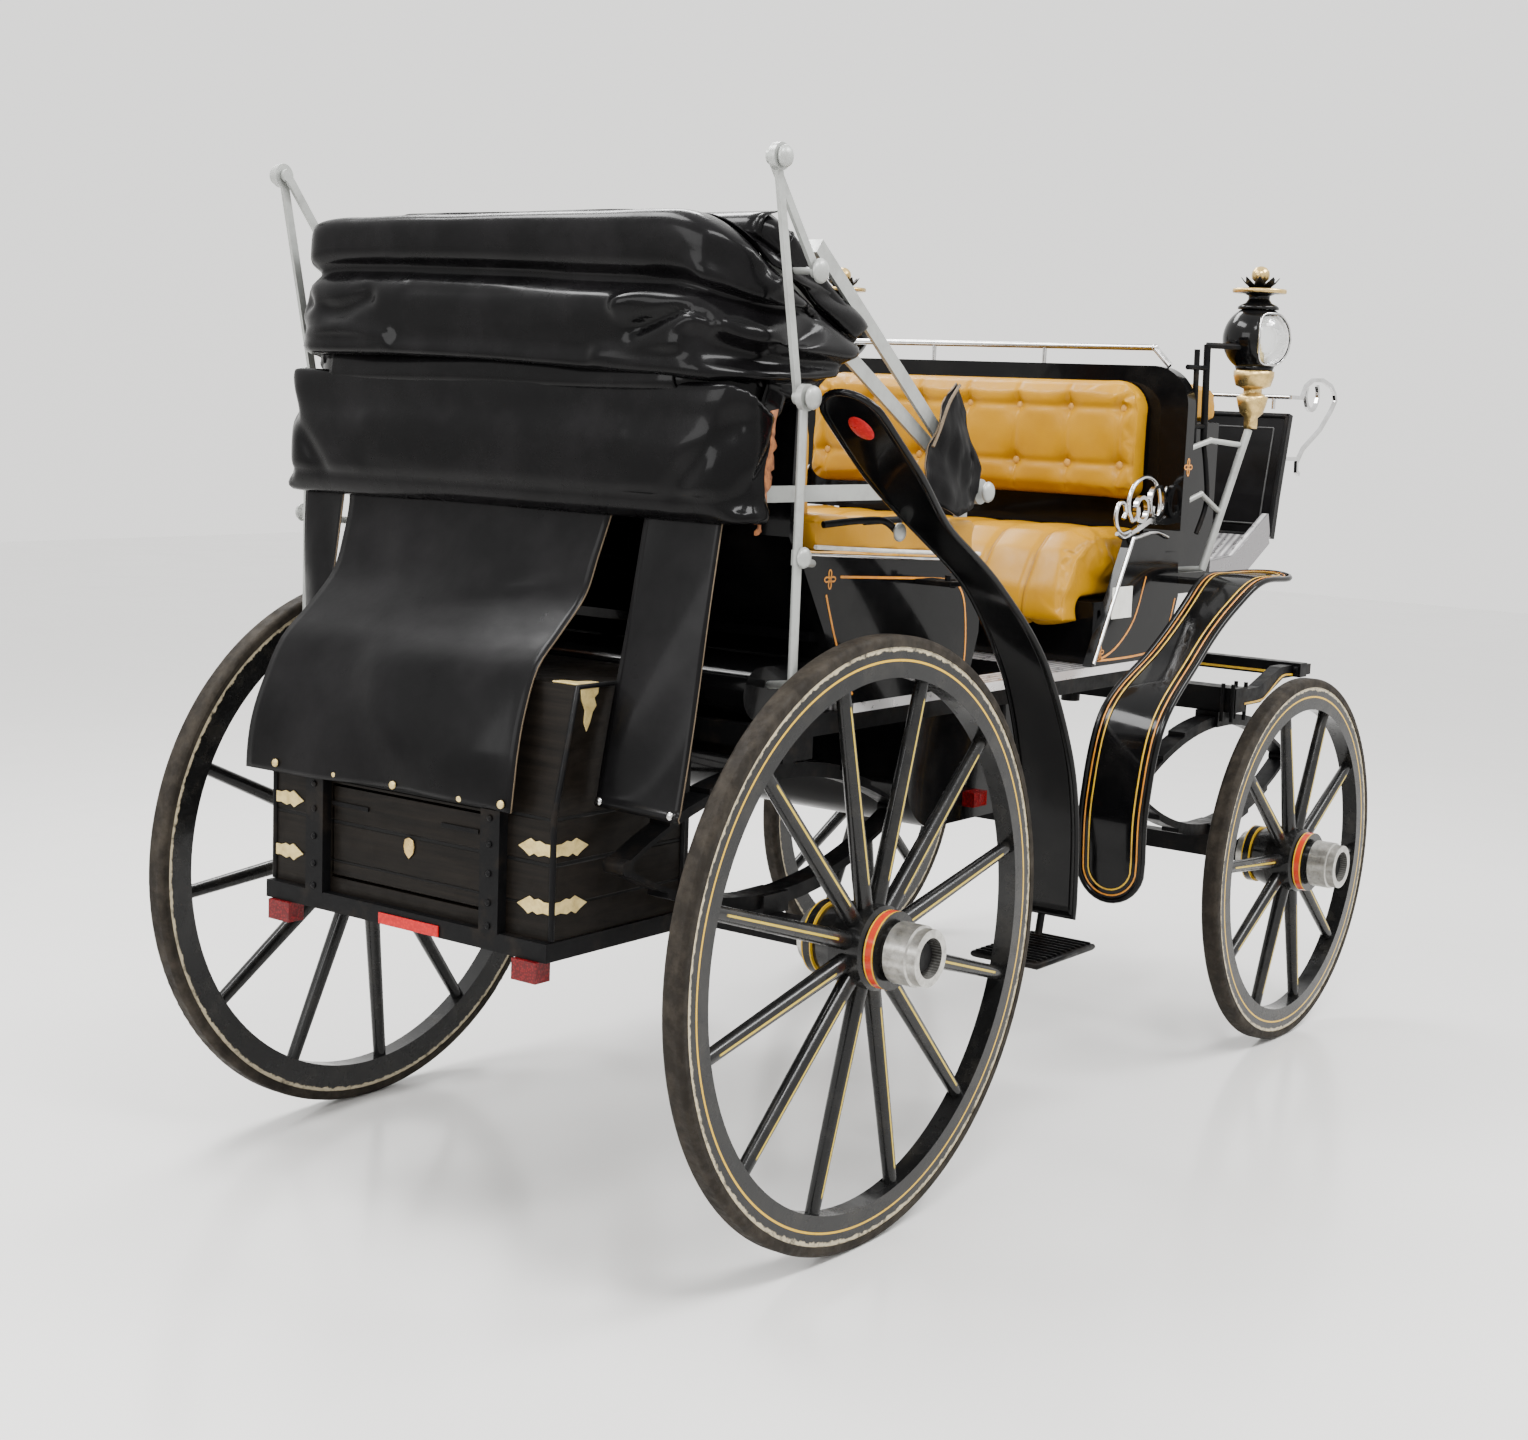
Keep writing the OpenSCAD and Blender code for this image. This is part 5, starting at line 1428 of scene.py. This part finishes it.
def trunk_door_fittings():
    shield = [(0, 18), (10, 14), (13, 2), (10, -10), (0, -20), (-10, -10), (-13, 2), (-10, 14)]
    plate("trunk_lock_plate", [xyz(-507.2, -7 + u, 700 + v) for u, v in shield], "brass", "trunk_door")
    slots = [slab("slot", xyz(-506.8, y, 752), (0.0012, w, 0.004), "iron", "trunk_door", 0.0006)
             for y, w in ((142, 0.046), (-128, 0.044))]
    join("trunk_door_slots", slots)


def trunk_edges(s, tag):
    """Iron corner straps along the trunk's edges and nailed battens."""
    strap = sided(s, (-505, 340, 592), (-505, 340, 800), (-455, 340, 1013), (-168, 340, 1013),
                  (-166, 340, 592))
    tube("trunk_edge_" + tag, [strap], 0.0055, "iron")
    profile = [(0.001, 0), (0.006, 0), (0.0055, 0.002), (0.003, 0.0034), (0.001, 0.0038)]
    nails = [lathe("nail", profile, xyz(-525.8, s * 215, z), (-1, 0, 0), "iron", 10)
             for z in (600, 640, 690, 740, 785)]
    join("batten_nails_" + tag, nails)


both_sides(trunk_plates)
trunk_door_fittings()
slab("rear_red_strip", xyz(-524.2, -25, 569), (0.0018, 0.073, 0.010), "red_bright", BODY, 0.001)
both_sides(trunk_edges)

# ------------------------------------------------------------------ curtain rivets


def curtain_rivets():
    """Two steel rivets on the right strip and five brass ones along the flap's lower edge."""
    profile = [(0.001, 0), (0.0075, 0), (0.007, 0.0025), (0.004, 0.004), (0.001, 0.0044)]
    strip = [(-424, -366, 822), (-421, -516, 818)]
    edge = [(-537, 306, 812), (-537, 151, 812), (-537, 5, 812), (-537, -155, 812), (-537, -250, 814)]
    rivets = [lathe("rivet", profile, xyz(*p), (-1, 0, 0.2), "steel", 14) for p in strip]
    rivets += [lathe("rivet", profile, xyz(*p), (-1, 0, 0.1), "cream_brass", 14) for p in edge]
    join("curtain_rivets", rivets)


curtain_rivets()

# ------------------------------------------------------------------ gold lines on the fore carriage


def fore_lines(s, tag):
    body = "fore_carriage"
    fx = WHEELBASE
    arm = [(fx + 20, 800), (fx + 112, 801), (fx + 150, 812), (fx + 232, 851), (fx + 300, 851)]
    coach_line("arm_line_outer_" + tag, arm, s * 470.6, "gold", 5.0, body)
    tube("shaft_pin_eyes_" + tag, [sided(s, (fx + 302, 474, 862), (fx + 302, 484, 862))], 0.011, "iron", body)
    bolts = [sided(s, (fx + dx, y, 758), (fx + dx, y, 851)) for dx in (-36, 36) for y in (438, 464)]
    tube("spring_u_bolts_" + tag, bolts, 0.005, "iron", body)


both_sides(fore_lines)
line = slab("splinter_line", xyz(WHEELBASE + 299.4, 0, 853), (0.0006, 0.43, 0.0028), "gold", "fore_carriage")
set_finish(line, SLOTS["iron"])

# ------------------------------------------------------------------ dash frame


def dash_frame():
    """A bead round the dash board and a row of stitching inside it."""
    def loop(y, inset, upright, top, low):
        sides = [[xyz(x - inset, side, z) for x, z in upright] for side in (-y, y)]
        return sides + [[xyz(x, -y, z), xyz(x, y, z)] for x, z in (top, low)]

    bead = loop(416, 13, [(2068, 1200), (2086, 1300), (2130, 1500)], (2117, 1500), (2056, 1202))
    tube("dash_frame_beads", bead, 0.006, "iron")
    stitches = loop(385, 12.6, [(2073, 1230), (2086, 1300), (2123, 1470)], (2110.6, 1470), (2060.6, 1230))
    tube("dash_stitching", stitches, 0.0022, "stitching")


dash_frame()

# ------------------------------------------------------------------ step ribs


def step_ribs(s, tag):
    pitch = 218 / 11
    ribs = [sided(s, (606 + pitch * k, 495, 408.2), (606 + pitch * k, 635, 408.2)) for k in range(12)]
    tube("step_ribs_" + tag, ribs, 0.0035, "iron")
    edge = sided(s, (601, 491, 402), (829, 491, 402), (829, 639, 402), (601, 639, 402))
    tube("step_edge_" + tag, [edge], 0.0062, "iron", BODY, True)


both_sides(step_ribs)


# ------------------------------------------------------------------ ragged lining of the hood's sides


def lining(s, tag):
    """Torn strip of the orange-brown lining that shows behind the hood's side."""
    rng = np.random.default_rng(7 if s < 0 else 8)
    verts = []
    n = 26
    for k in range(n + 1):
        t = k / n
        x = -243 + 26 * math.sin(math.pi * min(1, t * 1.3) / 2) + 6 * t
        z = 1272 + 205 * t
        w = 8 + 10 * rng.random() + (12 if 0.35 < t < 0.75 else 0)
        for u in (-1, 0, 1):
            edge = x + u * w * 0.5 + 3 * rng.normal()
            verts.append(xyz(edge, s * (538 + 3 * math.sin(9 * t)), z + 3 * rng.normal()))
    faces = [(a, a + 1, a + 4, a + 3) for k in range(n) for a in (k * 3, k * 3 + 1)]
    piece(thicken(new_mesh("torn_lining_" + tag, verts, faces, "lining"), 0.0022, -1), "lining")


both_sides(lining)
